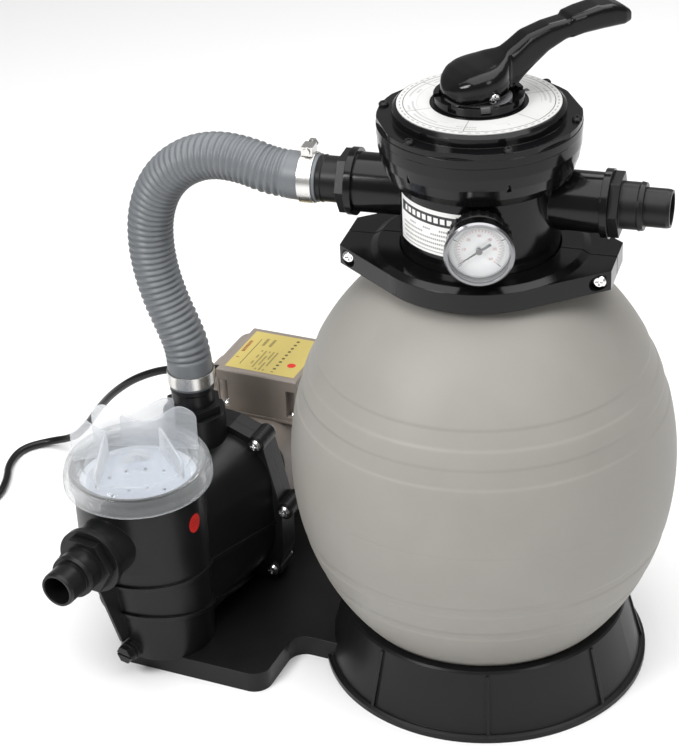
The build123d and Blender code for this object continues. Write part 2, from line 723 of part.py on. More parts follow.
def drain_plug():
    """The slotted hexagon plug low on the pot."""
    shape = disc(5, 41, 51.5) + hexagon(15, 54, 60) + disc(9, 51.5, 55)
    shape -= ring(7.9, 5.4, 51, 53.4)
    shape -= Pos(0, 0, 60) * Box(20, 1.8, 4)
    return drain_line(shape)


def drain_plug_seal():
    return drain_line(rubber_ring(6.6, 1.05, 52.2))


def bracket_plate():
    """The plate between pump and motor: it closes the volute and carries the seal."""
    shape = flange_plate(flange_back + 0.05, bracket_back)
    shape += backward(disc(40, bracket_back - 1, 20 + engine_y))
    shape -= backward(disc(14, -10, 22) + disc(9, 0, 40)
                      + ring(71.2, 67.4, flange_back - 1, flange_back + 3.4))
    for x, y in flange_bolts():
        shape -= backward(disc(3.3, flange_back - 5, 30, x, y))
    return shape


def pump_screws():
    """The screws round the flange and their nuts behind."""
    pieces = []
    for x, y in flange_bolts():
        screw = Pos(x, y, flange_front) * Rot(180, 0, 0) * pan_screw(6, 3, 32, 4)
        nut = Pos(x, y, bracket_back + 0.1) * (hexagon(10, 0, 5) - disc(3.02, -1, 6))
        pieces += [backward(screw), backward(nut)]
    return pieces


def impeller():
    """The closed wheel: back plate, front shroud with its eye, and six leaning vanes between them."""
    shape = disc(52, -34, -31) + ring(52, 17, -44, -41.5) + ring(20, 17, -46, -41.5) + disc(13, -40, -29)
    for index in range(6):
        vane = Pos(15, 0, 0) * Rot(0, 0, 35) * block(0, 38.5, -1.1, 1.1, -42, -33)
        shape += Rot(0, 0, 60 * index) * vane
    return backward(shape - disc(shaft_radius, -39, -20), engine_y)


def mechanical_seal():
    return backward(ring(13, shaft_radius, -28.5, -8) + ring(11.5, shaft_radius, -8.5, 2), engine_y)


def rotor_shaft():
    """The motor's shaft with its rotor core."""
    return backward(disc(shaft_radius, -39, 176) + disc(29.5, 60, 118), engine_y)


def motor_bearings():
    return [backward(ring(17, shaft_radius + running_gap, low, low + 10)
                     - ring(14, 11, low + 8.5, low + 11), engine_y)
            for low in (26, 138)]


def motor_housing():
    """The motor's boxy barrel, bored for the stator, with a bearing seat at the front."""
    outline = RectangleRounded(motor_width, motor_top - motor_bottom, 26)
    middle = (motor_top + motor_bottom) / 2 - shaft_height
    shape = backward(Pos(0, -middle, 20) * extrude(outline, motor_back - 20), engine_y)
    shape -= backward(disc(motor_bore, 36, motor_back + 1) + disc(17, 26, 40) + disc(10, 10, 30), engine_y)
    for index in range(9):
        x = shaft_x - 48 + 12 * index
        shape -= block(x - 1.5, x + 1.5, 145, engine_y + motor_back + 1, motor_bottom - 1, motor_bottom + 3)
    return shape


def motor_end_shield():
    """The rear cover plate that holds the rear bearing."""
    plate = disc(motor_bore - 0.1, 134, motor_back - 0.5) - disc(17, 138, 160) - disc(10, 130, 150)
    return backward(plate, engine_y)


def stator():
    """The laminated core with its windings standing out at both ends."""
    return backward(ring(motor_bore, 30.3, 60, 118) + ring(43, 33, 48, 130), engine_y)


def cooling_fan():
    shape = disc(13, 160, 174) + ring(14, 12, 160, 166)
    for index in range(7):
        shape += Rot(0, 0, 360 / 7 * index) * block(11, 42, -1.2, 1.2, 160, 174)
    return backward(shape - disc(shaft_radius, 150, 180), engine_y)


def fan_cover():
    """The vented cap over the fan."""
    middle = (motor_top + motor_bottom) / 2 - shaft_height
    height = motor_top - motor_bottom
    outer = Pos(0, -middle, motor_back + 0.2) * extrude(RectangleRounded(motor_width - 2, height - 2, 25),
                                                        fan_end - motor_back)
    inner = Pos(0, -middle, motor_back - 1) * extrude(RectangleRounded(motor_width - 8, height - 8, 22),
                                                      fan_end - motor_back - 2)
    shape = outer - inner
    for index in range(9):
        rise = 10 * (index - 4)
        shape -= Pos(0, rise - middle, fan_end) * Box(2 * sqrt(44 ** 2 - rise ** 2) + 2, 4.5, 12)
    return backward(shape, engine_y)


def motor_foot():
    """The bracket between the motor and the deck."""
    shape = block(shaft_x - 26, shaft_x + 38, 84, 140, deck_height, deck_height + 5)
    for side in (-1, 1):
        shape += block(shaft_x + side * 8 - 2, shaft_x + side * 8 + 2, 84, 140, deck_height + 4, motor_bottom)
    for x, y in foot_screw_places():
        shape -= disc(2.3, 10, 30, x, y)
    return shape


def foot_screws():
    return [Pos(x, y, deck_height + 5) * pan_screw(4.5, 2.05, 18, 3.2) for x, y in foot_screw_places()]


def terminal_base():
    """The tray under the wiring cover, with its terminal strip."""
    shape = block(box_left - 1, box_right + 1, box_front - 1, box_back + 1, motor_top, motor_top + 3)
    shape += block(box_left + 3, box_right - 3, box_front + 3, box_back - 3, motor_top + 2, motor_top + 7)
    shape -= block(box_left + 5, box_right - 5, box_front + 5, box_back - 5, motor_top + 4, motor_top + 9)
    for x, y in box_screw_places():
        shape -= disc(7.3, motor_top + 3, motor_top + 9, x, y)
        shape -= disc(2.1, motor_top + 0.5, motor_top + 9, x, y)
    for index in range(3):
        x = box_right - 18
        y = box_front + 22 + 12 * index
        shape += block(x - 7, x + 7, y - 5, y + 5, motor_top + 3, motor_top + 16)
    return shape


def box_screw_places():
    return [(x, y) for x in (box_left + 7, box_right - 7) for y in (box_front + 6, box_back - 6)]


def terminal_cover():
    """The deep wiring cover with a screw niche in each corner."""
    low = motor_top + 3.1
    shape = block(box_left, box_right, box_front, box_back, low, box_top)
    shape = chamfer(shape.edges().group_by(Axis.Z)[-1], 1.5)
    shape -= block(box_left + 2.6, box_right - 2.6, box_front + 2.6, box_back - 2.6, low - 1, box_top - 3)
    for x, y in box_screw_places():
        shape += disc(7, low, box_top - 8, x, y) & block(box_left, box_right, box_front, box_back, low,
                                                         box_top)
        shape -= disc(4.6, low + 4, box_top - 12, x, y)
        away_x = -10 if x < (box_left + box_right) / 2 else 10
        away_y = -10 if y < (box_front + box_back) / 2 else 10
        shape -= block(min(x, x + away_x), max(x, x + away_x), y - 4.6, y + 4.6, low + 4, box_top - 12)
        shape -= block(x - 4.6, x + 4.6, min(y, y + away_y), max(y, y + away_y), low + 4, box_top - 12)
        shape -= disc(2.2, low - 1, low + 6, x, y)
    return shape - facing(disc(8.1, -10, 10), (box_left, gland_y, gland_height), (-1, 0, 0))


def box_screws():
    return [Pos(x, y, motor_top + 7.2) * pan_screw(4.0, 2.0, 6.5, 2.8) for x, y in box_screw_places()]


def run_capacitor():
    """The motor's capacitor, lying under the wiring cover."""
    return facing(disc(14, -26, 24) + ring(14.6, 11, 22, 25), (box_left + 36, 104, 178), (0, 1, 0))


def cable_gland():
    """The hexagon gland and tapered sleeve where the cord leaves the wiring cover."""
    shape = turned((cord_radius, -6), (8, -6), (8, 0.1), (11, 0.1), (11, 6), (8, 8), (5.6, 28.8),
                   (cord_radius, 28.8))
    shape += hexagon(19, 0.1, 5) - disc(cord_radius, -1, 6)
    return facing(shape, (box_left, gland_y, gland_height), (-1, 0, 0))


def power_cord():
    return bent_tube(cord_route, cord_radius)


def coil_centre():
    """The coil turns to the right of the way the cord arrives."""
    return (coil_start[0] + coil_radius * coil_heading[1], coil_start[1] - coil_radius * coil_heading[0])


def cord_coil():
    """The outer shape of the tied coil of spare cord."""
    x, y = coil_centre()
    return ring(coil_radius + coil_half_width, coil_radius - coil_half_width, 0.1, coil_height, x, y)


def cord_plug():
    """A two-pin plug with its tapered sleeve, lying beside the coil."""
    x, y = coil_centre()
    angle = degrees(atan2(coil_start[1] - y, coil_start[0] - x)) - 90
    leave = sqrt((coil_radius + coil_half_width) ** 2 - coil_radius ** 2)
    at = Vector(*on_ray(angle, coil_radius, 11, x, y)) + Vector(*heading(angle - 90)) * leave
    sleeve = loft([Circle(4.8), Pos(0, 0, 24) * Circle(7)])
    body = Pos(0, 0, 23) * extrude(RectangleRounded(21, 27, 6), 26)
    shape = sleeve + body
    for side in (-1, 1):
        shape += Pos(0, side * 6.35, 57) * Box(6.3, 1.5, 17)
    return facing(shape, tuple(at), heading(angle - 90), (0, 0, 1))


def save(name, shape):
    """Writes one node; a list becomes separate solids in one file."""
    solids = shape if isinstance(shape, list) else [shape]
    parts[name] = Compound(children=[piece for entry in solids for piece in entry.solids()])
    export_step(parts[name], "parts/" + name + ".step")


def main():
    os.makedirs("parts", exist_ok=True)
    makers = [
        base_stand, tank_shell, still_seals, standpipe, lateral_hub, laterals, collar_bolts, valve_body,
        valve_lid,
        valve_lid_screws, rotor, stem_seal, rotor_spring, spider_gasket, position_ring, thrust_washer,
        valve_handle, handle_pin, gauge_cap, gauge_case, gauge_dial, gauge_needle, gauge_lens, waste_cap,
        waste_cap_seal, transfer_hose, hose_clamps, pump_body, strainer_lid, strainer_lid_seal,
        strainer_basket,
        drain_plug, drain_plug_seal, bracket_plate, pump_screws, impeller, mechanical_seal, rotor_shaft,
        motor_bearings, motor_housing, motor_end_shield, stator, cooling_fan, fan_cover, motor_foot,
        foot_screws,
        terminal_base, terminal_cover, box_screws, run_capacitor, cable_gland, power_cord, cord_coil,
        cord_plug,
    ]
    for maker in makers:
        save(maker.__name__, maker())
    save("collar_front", collar_half(-1))
    save("collar_rear", collar_half(1))
    for name, (at, direction) in adapter_places().items():
        save(name, facing(stepped_adapter(hose_draft if name in hose_ends else 0), at, direction))
    for name, route in (("hose", hose_route), ("cord", cord_route)):
        print(name, "bend radii", [round(radius) for radius in corner_radii(route)],
              "length", round(bent_path(route).length))


main()
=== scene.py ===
import bpy
import json
import numpy as np
from math import cos, pi, radians, sin
from mathutils import Matrix, Vector


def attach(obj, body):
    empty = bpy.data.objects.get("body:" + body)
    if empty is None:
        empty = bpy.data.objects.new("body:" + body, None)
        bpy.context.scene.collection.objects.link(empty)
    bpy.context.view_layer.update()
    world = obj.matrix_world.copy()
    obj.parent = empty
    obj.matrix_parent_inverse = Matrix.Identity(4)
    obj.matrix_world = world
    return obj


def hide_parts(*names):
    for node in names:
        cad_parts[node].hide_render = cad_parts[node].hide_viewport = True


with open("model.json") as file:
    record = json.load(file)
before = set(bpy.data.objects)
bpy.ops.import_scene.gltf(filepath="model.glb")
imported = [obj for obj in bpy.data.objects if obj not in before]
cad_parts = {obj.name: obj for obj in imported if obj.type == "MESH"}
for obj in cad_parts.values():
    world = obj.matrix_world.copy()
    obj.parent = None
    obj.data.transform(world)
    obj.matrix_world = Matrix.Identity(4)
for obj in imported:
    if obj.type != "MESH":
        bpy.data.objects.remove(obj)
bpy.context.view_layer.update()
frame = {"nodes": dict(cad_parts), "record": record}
print("frame loaded")

nodes = frame["nodes"]
slotOf = {entry["node"]: entry["material_slot"] for entry in frame["record"]["subparts"]}

# camera

cameraLook = dict(place=(0.5660, -1.4955, 1.2159), turn=25.1, tilt=30.09, roll=-2.83, lens=104.15)


def makeCamera():
    turn, tilt, roll = (radians(cameraLook[key]) for key in ("turn", "tilt", "roll"))
    back = Vector((sin(turn) * cos(tilt), -cos(turn) * cos(tilt), sin(tilt)))
    level = Vector((cos(turn), sin(turn), 0))
    rise = back.cross(level)
    right = level * cos(roll) + rise * sin(roll)
    up = rise * cos(roll) - level * sin(roll)
    lens = bpy.data.cameras.new("camera")
    lens.lens = cameraLook["lens"]
    lens.clip_start, lens.clip_end = 0.05, 20
    camera = bpy.data.objects.new("camera", lens)
    bpy.context.scene.collection.objects.link(camera)
    turned = Matrix((right, up, back)).transposed().to_4x4()
    camera.matrix_world = Matrix.Translation(cameraLook["place"]) @ turned
    bpy.context.scene.camera = camera


makeCamera()

# tools for meshes


def meshPiece(name, vertices, faces, body, material, uv=None):
    mesh = bpy.data.meshes.new(name)
    mesh.from_pydata(np.asarray(vertices, float).tolist(), [], [list(map(int, face)) for face in faces])
    if uv is not None:
        layer = mesh.uv_layers.new(name="UVMap")
        corner = np.zeros(len(mesh.loops), np.int32)
        mesh.loops.foreach_get("vertex_index", corner)
        layer.data.foreach_set("uv", np.asarray(uv, np.float32)[corner].ravel())
    mesh.polygons.foreach_set("use_smooth", np.ones(len(mesh.polygons), bool))
    mesh.update()
    piece = bpy.data.objects.new(name, mesh)
    bpy.context.scene.collection.objects.link(piece)
    mesh.materials.append(material)
    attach(piece, body)
    return piece


def gridFaces(rows, columns, closedRows=False, closedColumns=False):
    # four corners of every cell of a grid, wrapped round where a side is closed
    i = np.arange(rows if closedRows else rows - 1)
    j = np.arange(columns if closedColumns else columns - 1)
    i, j = [a.ravel() for a in np.meshgrid(i, j, indexing="ij")]
    nextI, nextJ = (i + 1) % rows, (j + 1) % columns
    return np.stack([i * columns + j, i * columns + nextJ, nextI * columns + nextJ, nextI * columns + j], 1)


def turnedGrid(radii, heights, steps):
    # a profile turned about Z: x = r cos t, y = r sin t, z = h
    t = np.arange(steps) * 2 * pi / steps
    x = np.outer(radii, np.cos(t))
    y = np.outer(radii, np.sin(t))
    z = np.repeat(np.asarray(heights, float)[:, None], steps, 1)
    return np.stack([x, y, z], 2).reshape(-1, 3)


def routePoints(curve):
    # the places along the line that a copy of the curve without its bevel gives
    plain = curve.data.copy()
    plain.bevel_depth = 0
    holder = bpy.data.objects.new("holder", plain)
    mesh = bpy.data.meshes.new_from_object(holder)
    points = np.zeros(len(mesh.vertices) * 3)
    mesh.vertices.foreach_get("co", points)
    bpy.data.objects.remove(holder)
    bpy.data.meshes.remove(mesh)
    bpy.data.curves.remove(plain)
    return points.reshape(-1, 3)


def splineObject(name, points, radius, steps):
    # an open smooth curve with these points as its control points, round in section when radius isn't zero
    curve = bpy.data.curves.new(name, "CURVE")
    curve.dimensions = "3D"
    spline = curve.splines.new("NURBS")
    spline.points.add(len(points) - 1)
    for point, place in zip(spline.points, points):
        point.co = (*place, 1)
    spline.order_u = 3
    spline.use_endpoint_u = True
    curve.resolution_u = steps
    curve.bevel_depth = radius
    curve.bevel_resolution = 5
    curve.use_fill_caps = True
    piece = bpy.data.objects.new(name, curve)
    bpy.context.scene.collection.objects.link(piece)
    return piece


def alongRoute(points, count):
    # evenly spaced places on a line, with a frame that turns as little as it can
    lengths = np.r_[0, np.cumsum(np.linalg.norm(np.diff(points, axis=0), axis=1))]
    s = np.linspace(0, lengths[-1], count)
    places = np.stack([np.interp(s, lengths, points[:, k]) for k in range(3)], 1)
    tangents = np.gradient(places, axis=0)
    tangents /= np.linalg.norm(tangents, axis=1)[:, None]
    side = np.cross(tangents[0], (0.0, 1.0, 0.0) if abs(tangents[0][1]) < 0.9 else (1.0, 0, 0))
    sides = np.zeros_like(places)
    for index, tangent in enumerate(tangents):
        side = side - tangent * side.dot(tangent)
        side /= np.linalg.norm(side)
        sides[index] = side
    return s, places, sides, np.cross(tangents, sides)


# tools for shaders


def put(tree, kind, values=None, **settings):
    node = tree.nodes.new("ShaderNode" + kind)
    for key, value in settings.items():
        setattr(node, key, value)
    for key, value in (values or {}).items():
        if isinstance(value, bpy.types.NodeSocket):
            tree.links.new(value, node.inputs[key])
        else:
            node.inputs[key].default_value = value
    return node


def calc(tree, operation, *values):
    return put(tree, "Math", dict(enumerate(values)), operation=operation).outputs[0]


def spread(tree, value, low, high, newLow=0.0, newHigh=1.0):
    ends = {"From Min": low, "From Max": high, "To Min": newLow, "To Max": newHigh}
    mapped = put(tree, "MapRange", {"Value": value, **ends})
    return mapped.outputs["Result"]


def blendColours(tree, share, first, second):
    mix = put(tree, "Mix", {0: share, 6: first, 7: second}, data_type="RGBA")
    return mix.outputs[2]


def opaque(colour):
    return (*colour[:3], 1.0)


def newGroup(name, ins, outs):
    group = bpy.data.node_groups.new(name, "ShaderNodeTree")
    for label, kind, value in ins:
        made = group.interface.new_socket(name=label, in_out="INPUT", socket_type="NodeSocket" + kind)
        if value is not None:
            made.default_value = value
    for label, kind in outs:
        group.interface.new_socket(name=label, in_out="OUTPUT", socket_type="NodeSocket" + kind)
    return group, group.nodes.new("NodeGroupInput"), group.nodes.new("NodeGroupOutput")


def makeGrainGroup():
    # grain is a fine orange peel, mottle a slow drift of tone, dust a sparse speckle
    ins = [("Scale", "Float", 600.0), ("Stretch", "Vector", (1.0, 1.0, 1.0))]
    outs = [("Height", "Float"), ("Mottle", "Float"), ("Dust", "Float")]
    group, given, made = newGroup("mouldedGrain", ins, outs)
    place = put(group, "TexCoord").outputs["Object"]
    stretched = put(group, "VectorMath", {0: place, 1: given.outputs["Stretch"]},
                    operation="MULTIPLY").outputs[0]
    fine = put(group, "TexNoise", {"Vector": stretched, "Scale": given.outputs["Scale"], "Detail": 3.0,
                                   "Roughness": 0.6})
    slow = put(group, "TexNoise", {"Vector": place, "Scale": 14.0, "Detail": 4.0, "Roughness": 0.62})
    specks = put(group, "TexVoronoi", {"Vector": place, "Scale": 420.0, "Randomness": 1.0})
    patch = put(group, "TexNoise", {"Vector": place, "Scale": 55.0, "Detail": 2.0})
    speck = calc(group, "MULTIPLY", spread(group, specks.outputs["Distance"], 0.11, 0.05),
                 spread(group, patch.outputs[0], 0.52, 0.7))
    group.links.new(fine.outputs[0], made.inputs["Height"])
    group.links.new(spread(group, slow.outputs[0], 0.3, 0.7), made.inputs["Mottle"])
    group.links.new(speck, made.inputs["Dust"])
    return group


def makeEdgeGroup():
    # the rounded normal of a small edge, and a mask where the surface turns, broken up by noise, that marks
    # where edges are lightened as a painted highlight
    group, given, made = newGroup("softEdge", [("Radius", "Float", 0.0008)],
                                  [("Normal", "Vector"), ("EdgeHighlight", "Float")])
    bevel = put(group, "Bevel", {"Radius": given.outputs["Radius"]}, samples=4)
    flat = put(group, "NewGeometry")
    place = put(group, "TexCoord").outputs["Object"]
    alike = put(group, "VectorMath", {0: bevel.outputs[0], 1: flat.outputs["Normal"]},
                operation="DOT_PRODUCT").outputs["Value"]
    broken = put(group, "TexNoise", {"Vector": place, "Scale": 160.0, "Detail": 4.0})
    turned = spread(group, alike, 0.995, 0.86)
    group.links.new(bevel.outputs[0], made.inputs["Normal"])
    group.links.new(calc(group, "MULTIPLY", turned, spread(group, broken.outputs[0], 0.42, 0.62)),
                    made.inputs["EdgeHighlight"])
    return group


def makeLinesGroup():
    # rows of short bars that stand for small print: each row is cut into words by a random value
    ins = [("Vector", "Vector", None), ("Rows", "Float", 8.0), ("Words", "Float", 20.0),
           ("Gaps", "Float", 0.22)]
    group, given, made = newGroup("printBars", ins, [("Ink", "Float")])
    parts = put(group, "SeparateXYZ", {0: given.outputs["Vector"]})
    across = calc(group, "MULTIPLY", parts.outputs[0], given.outputs["Words"])
    down = calc(group, "MULTIPLY", parts.outputs[1], given.outputs["Rows"])
    cell = put(group, "CombineXYZ", {0: calc(group, "FLOOR", across), 1: calc(group, "FLOOR", down)})
    chance = put(group, "TexWhiteNoise", {"Vector": cell.outputs[0]}, noise_dimensions="2D")
    inRow = calc(group, "COMPARE", calc(group, "FRACT", down), 0.5, 0.22)
    word = calc(group, "GREATER_THAN", chance.outputs["Value"], given.outputs["Gaps"])
    stroke = calc(group, "GREATER_THAN", calc(group, "FRACT", calc(group, "MULTIPLY", across, 4.0)), 0.35)
    group.links.new(calc(group, "MULTIPLY", calc(group, "MULTIPLY", inRow, word), stroke), made.inputs["Ink"])
    return group


dustTone = (0.42, 0.41, 0.39, 1.0)
grainGroup = makeGrainGroup()
edgeGroup = makeEdgeGroup()
linesGroup = makeLinesGroup()


def startMaterial(name):
    material = bpy.data.materials.new(name)
    material.use_nodes = True
    tree = material.node_tree
    tree.nodes.clear()
    shader = put(tree, "BsdfPrincipled")
    tree.links.new(shader.outputs[0], put(tree, "OutputMaterial").inputs[0])
    return material, tree, shader


def grained(name, colour, pale, rough, roughSpread=0.08, scale=700.0, depth=0.00006, strength=0.35,
            edge=0.0008, metal=0.0, edgeHighlightTone=0.35, dust=0.25, stretch=(1.0, 1.0, 1.0), specular=0.5,
            ink=None):
    # one moulded, cast or drawn finish: tone drifts, edges are lightened as a painted highlight, dust
    # settles, grain sets the gloss
    material, tree, shader = startMaterial(name)
    grain = put(tree, "Group", node_tree=grainGroup)
    grain.inputs["Scale"].default_value = scale
    grain.inputs["Stretch"].default_value = stretch
    soft = put(tree, "Group", node_tree=edgeGroup)
    soft.inputs["Radius"].default_value = edge
    tone = blendColours(tree, grain.outputs["Mottle"], opaque(colour), opaque(pale))
    # painted highlight: turned edges are blended toward a much lighter tone
    edgeHighlight = calc(tree, "MULTIPLY", soft.outputs["EdgeHighlight"], edgeHighlightTone)
    tone = blendColours(tree, edgeHighlight, tone, opaque([min(1.0, channel * 2.2 + 0.03) for channel in pale]))
    tone = blendColours(tree, calc(tree, "MULTIPLY", grain.outputs["Dust"], dust), tone, dustTone)
    if ink:
        tone = ink(tree, tone)
    tree.links.new(tone, shader.inputs["Base Color"])
    gloss = spread(tree, grain.outputs["Mottle"], 0, 1, rough - roughSpread / 2, rough + roughSpread / 2)
    gloss = calc(tree, "ADD", gloss, calc(tree, "MULTIPLY", grain.outputs["Dust"], 0.25))
    tree.links.new(gloss, shader.inputs["Roughness"])
    bump = put(tree, "Bump", {"Height": grain.outputs["Height"], "Normal": soft.outputs["Normal"],
                              "Strength": strength, "Distance": depth})
    tree.links.new(bump.outputs[0], shader.inputs["Normal"])
    shader.inputs["Metallic"].default_value = metal
    shader.inputs["Specular IOR Level"].default_value = specular
    return material


# colour drifts toward pale; depth is the height of the grain and edge the rounding of corners, in metres; the
# edge tone is how strongly turned edges are lightened as a painted highlight
finishes = {
    "tank_plastic": dict(colour=(0.248, 0.237, 0.217), pale=(0.266, 0.255, 0.234), rough=0.48,
                         specular=0.28, scale=420, depth=0.00012, strength=0.25, edge=0.0012, edgeHighlightTone=0.1,
                         dust=0.12),
    "black_gloss": dict(colour=(0.003, 0.003, 0.0035), pale=(0.0045, 0.0045, 0.005), rough=0.14, scale=260,
                        depth=0.00008, strength=0.25, edge=0.0011, edgeHighlightTone=0.10, dust=0.06, specular=0.26),
    "black_satin": dict(colour=(0.0055, 0.0055, 0.006), pale=(0.0085, 0.0085, 0.009), rough=0.32, scale=620,
                        depth=0.00009, strength=0.45, edge=0.0010, edgeHighlightTone=0.16, dust=0.08, specular=0.24),
    "hose_grey": dict(colour=(0.112, 0.121, 0.130), pale=(0.136, 0.145, 0.154), rough=0.42, scale=500,
                      depth=0.00008, edge=0.0005, edgeHighlightTone=0.1, dust=0.15),
    "stainless": dict(colour=(0.60, 0.59, 0.57), pale=(0.70, 0.69, 0.67), rough=0.27, metal=1.0, scale=900,
                      depth=0.00004, edge=0.0003, edgeHighlightTone=0.3, dust=0.1, stretch=(0.25, 0.25, 6.0)),
    "bright_steel": dict(colour=(0.70, 0.70, 0.70), pale=(0.82, 0.82, 0.82), rough=0.16, metal=1.0,
                         scale=500, depth=0.00002, edge=0.0003, edgeHighlightTone=0.2, dust=0.1),
    "label_white": dict(colour=(0.50, 0.50, 0.49), pale=(0.56, 0.56, 0.55), rough=0.34, scale=500,
                        depth=0.00002, edge=0.0002, edgeHighlightTone=0.0, dust=0.1),
    "dial_white": dict(colour=(0.84, 0.85, 0.85), pale=(0.87, 0.88, 0.88), rough=0.4, scale=900,
                       depth=0.00001, edge=0.0001, edgeHighlightTone=0.0, dust=0.0),
    "needle_black": dict(colour=(0.01, 0.01, 0.01), pale=(0.015, 0.015, 0.015), rough=0.35, edge=0.0001,
                         edgeHighlightTone=0.0, dust=0.0),
    "taupe_plastic": dict(colour=(0.215, 0.185, 0.160), pale=(0.245, 0.212, 0.183), rough=0.47, scale=520,
                          depth=0.00012, strength=0.5, edge=0.0012, edgeHighlightTone=0.2, dust=0.15),
    "rubber_black": dict(colour=(0.012, 0.012, 0.012), pale=(0.02, 0.02, 0.02), rough=0.6, scale=800,
                         edge=0.0004),
    "basket_white": dict(colour=(0.70, 0.74, 0.82), pale=(0.76, 0.80, 0.88), rough=0.4, scale=400,
                         edge=0.0006, dust=0.05),
    "washer_grey": dict(colour=(0.20, 0.20, 0.21), pale=(0.24, 0.24, 0.25), rough=0.45, edge=0.0005),
    "pipe_white": dict(colour=(0.70, 0.70, 0.67), pale=(0.76, 0.76, 0.73), rough=0.35, edge=0.0005),
    "impeller_plastic": dict(colour=(0.03, 0.03, 0.033), pale=(0.045, 0.045, 0.05), rough=0.45,
                             edge=0.0006),
    "core_steel": dict(colour=(0.22, 0.22, 0.23), pale=(0.30, 0.30, 0.31), rough=0.42, metal=0.9,
                       edge=0.0005, stretch=(1.0, 8.0, 1.0)),
    "bezel_steel": dict(colour=(0.20, 0.20, 0.21), pale=(0.28, 0.28, 0.29), rough=0.18, metal=1.0,
                        scale=900, depth=0.00003, edge=0.0004, edgeHighlightTone=0.3, dust=0.05),
    "cord_black": dict(colour=(0.004, 0.004, 0.004), pale=(0.007, 0.007, 0.007), rough=0.30, specular=0.3,
                       scale=900, depth=0.00005, edge=0.0004),
}


# through is the share of light let through; thin and edge are how solid it looks square on and at its edges
clearFinishes = {
    "clear_plastic": dict(tint=(0.86, 0.90, 0.93), rough=0.03, depth=0.0002, through=0.6, thin=0.07,
                          edge=0.85),
    "frosted_plastic": dict(tint=(0.62, 0.65, 0.69), rough=0.22, depth=0.0003, through=0.5, thin=0.34,
                            edge=0.95),
    "gauge_glass": dict(tint=(0.96, 0.97, 0.98), rough=0.01, depth=0.00002, through=0.0, thin=0.05, edge=0.5),
}


def clearMaterial(name, tint, rough, depth, through, thin, edge):
    # clear where it is seen square on, and fuller toward its edges
    material, tree, shader = startMaterial(name)
    grain = put(tree, "Group", node_tree=grainGroup)
    grain.inputs["Scale"].default_value = 90.0
    tone = blendColours(tree, grain.outputs["Mottle"], opaque(tint), (0.97, 0.985, 1.0, 1.0))
    tree.links.new(tone, shader.inputs["Base Color"])
    tree.links.new(spread(tree, grain.outputs["Mottle"], 0, 1, rough, rough + 0.05),
                   shader.inputs["Roughness"])
    bump = put(tree, "Bump", {"Height": grain.outputs["Height"], "Strength": 0.3, "Distance": depth})
    tree.links.new(bump.outputs[0], shader.inputs["Normal"])
    shader.inputs["Transmission Weight"].default_value = through
    turned = put(tree, "LayerWeight", {"Blend": 0.35}).outputs["Facing"]
    tree.links.new(spread(tree, turned, 0.0, 0.9, thin, edge), shader.inputs["Alpha"])
    shader.inputs["IOR"].default_value = 1.46
    return material


ringLook = dict(inner=0.0397, outer=0.0662, pointer=48.8)


def ringPrint(tree, tone):
    # faint words in two rings, a thin circle near the edge, dashes outside it, six spokes and a dark pointer
    place = put(tree, "TexCoord").outputs["Object"]
    parts = put(tree, "SeparateXYZ", {0: place})
    angle = calc(tree, "ARCTAN2", parts.outputs[1], parts.outputs[0])
    flat = put(tree, "CombineXYZ", {0: parts.outputs[0], 1: parts.outputs[1]})
    radius = put(tree, "VectorMath", {0: flat.outputs[0]}, operation="LENGTH").outputs["Value"]
    share = spread(tree, angle, -pi, pi)
    height = spread(tree, radius, ringLook["inner"], ringLook["outer"])
    bars = put(tree, "Group", node_tree=linesGroup)
    tree.links.new(put(tree, "CombineXYZ", {0: share, 1: height}).outputs[0], bars.inputs["Vector"])
    bars.inputs["Rows"].default_value = 7.0
    bars.inputs["Words"].default_value = 40.0
    bars.inputs["Gaps"].default_value = 0.45
    band = calc(tree, "COMPARE", height, 0.56, 0.19)
    blank = calc(tree, "GREATER_THAN", calc(tree, "ABSOLUTE", calc(tree, "ADD", angle, 0.25)), 0.5)
    ink = calc(tree, "MULTIPLY", calc(tree, "MULTIPLY", bars.outputs["Ink"], band),
               calc(tree, "MULTIPLY", blank, 0.45))
    circle = calc(tree, "COMPARE", height, 0.80, 0.012)
    dashes = calc(tree, "LESS_THAN", calc(tree, "FRACT", calc(tree, "MULTIPLY", share, 60.0)), 0.5)
    dashes = calc(tree, "MULTIPLY", calc(tree, "COMPARE", height, 0.90, 0.022),
                  calc(tree, "MULTIPLY", dashes, 0.55))
    sixths = calc(tree, "ADD", calc(tree, "MULTIPLY", share, 6.0), 0.36)
    spoke = calc(tree, "LESS_THAN", calc(tree, "FRACT", sixths), 0.012)
    spoke = calc(tree, "MULTIPLY", spoke, calc(tree, "MULTIPLY", calc(tree, "LESS_THAN", height, 0.8), 0.7))
    turned = calc(tree, "SUBTRACT", angle, radians(ringLook["pointer"]))
    arrow = calc(tree, "LESS_THAN", calc(tree, "ABSOLUTE", turned), 0.06)
    arrow = calc(tree, "MULTIPLY", arrow, calc(tree, "COMPARE", height, 0.12, 0.09))
    ink = calc(tree, "MAXIMUM", calc(tree, "MAXIMUM", ink, circle), calc(tree, "MAXIMUM", dashes, spoke))
    return blendColours(tree, calc(tree, "MAXIMUM", ink, arrow), tone, (0.03, 0.03, 0.032, 1.0))


materials = {}
for name, look in finishes.items():
    materials[name] = grained(name, **look, ink=ringPrint if name == "label_white" else None)
for name, look in clearFinishes.items():
    materials[name] = clearMaterial(name, **look)
for name, node in nodes.items():
    node.data.materials.clear()
    node.data.materials.append(materials["bezel_steel" if name == "gauge_case" else slotOf[name]])
print("materials made")
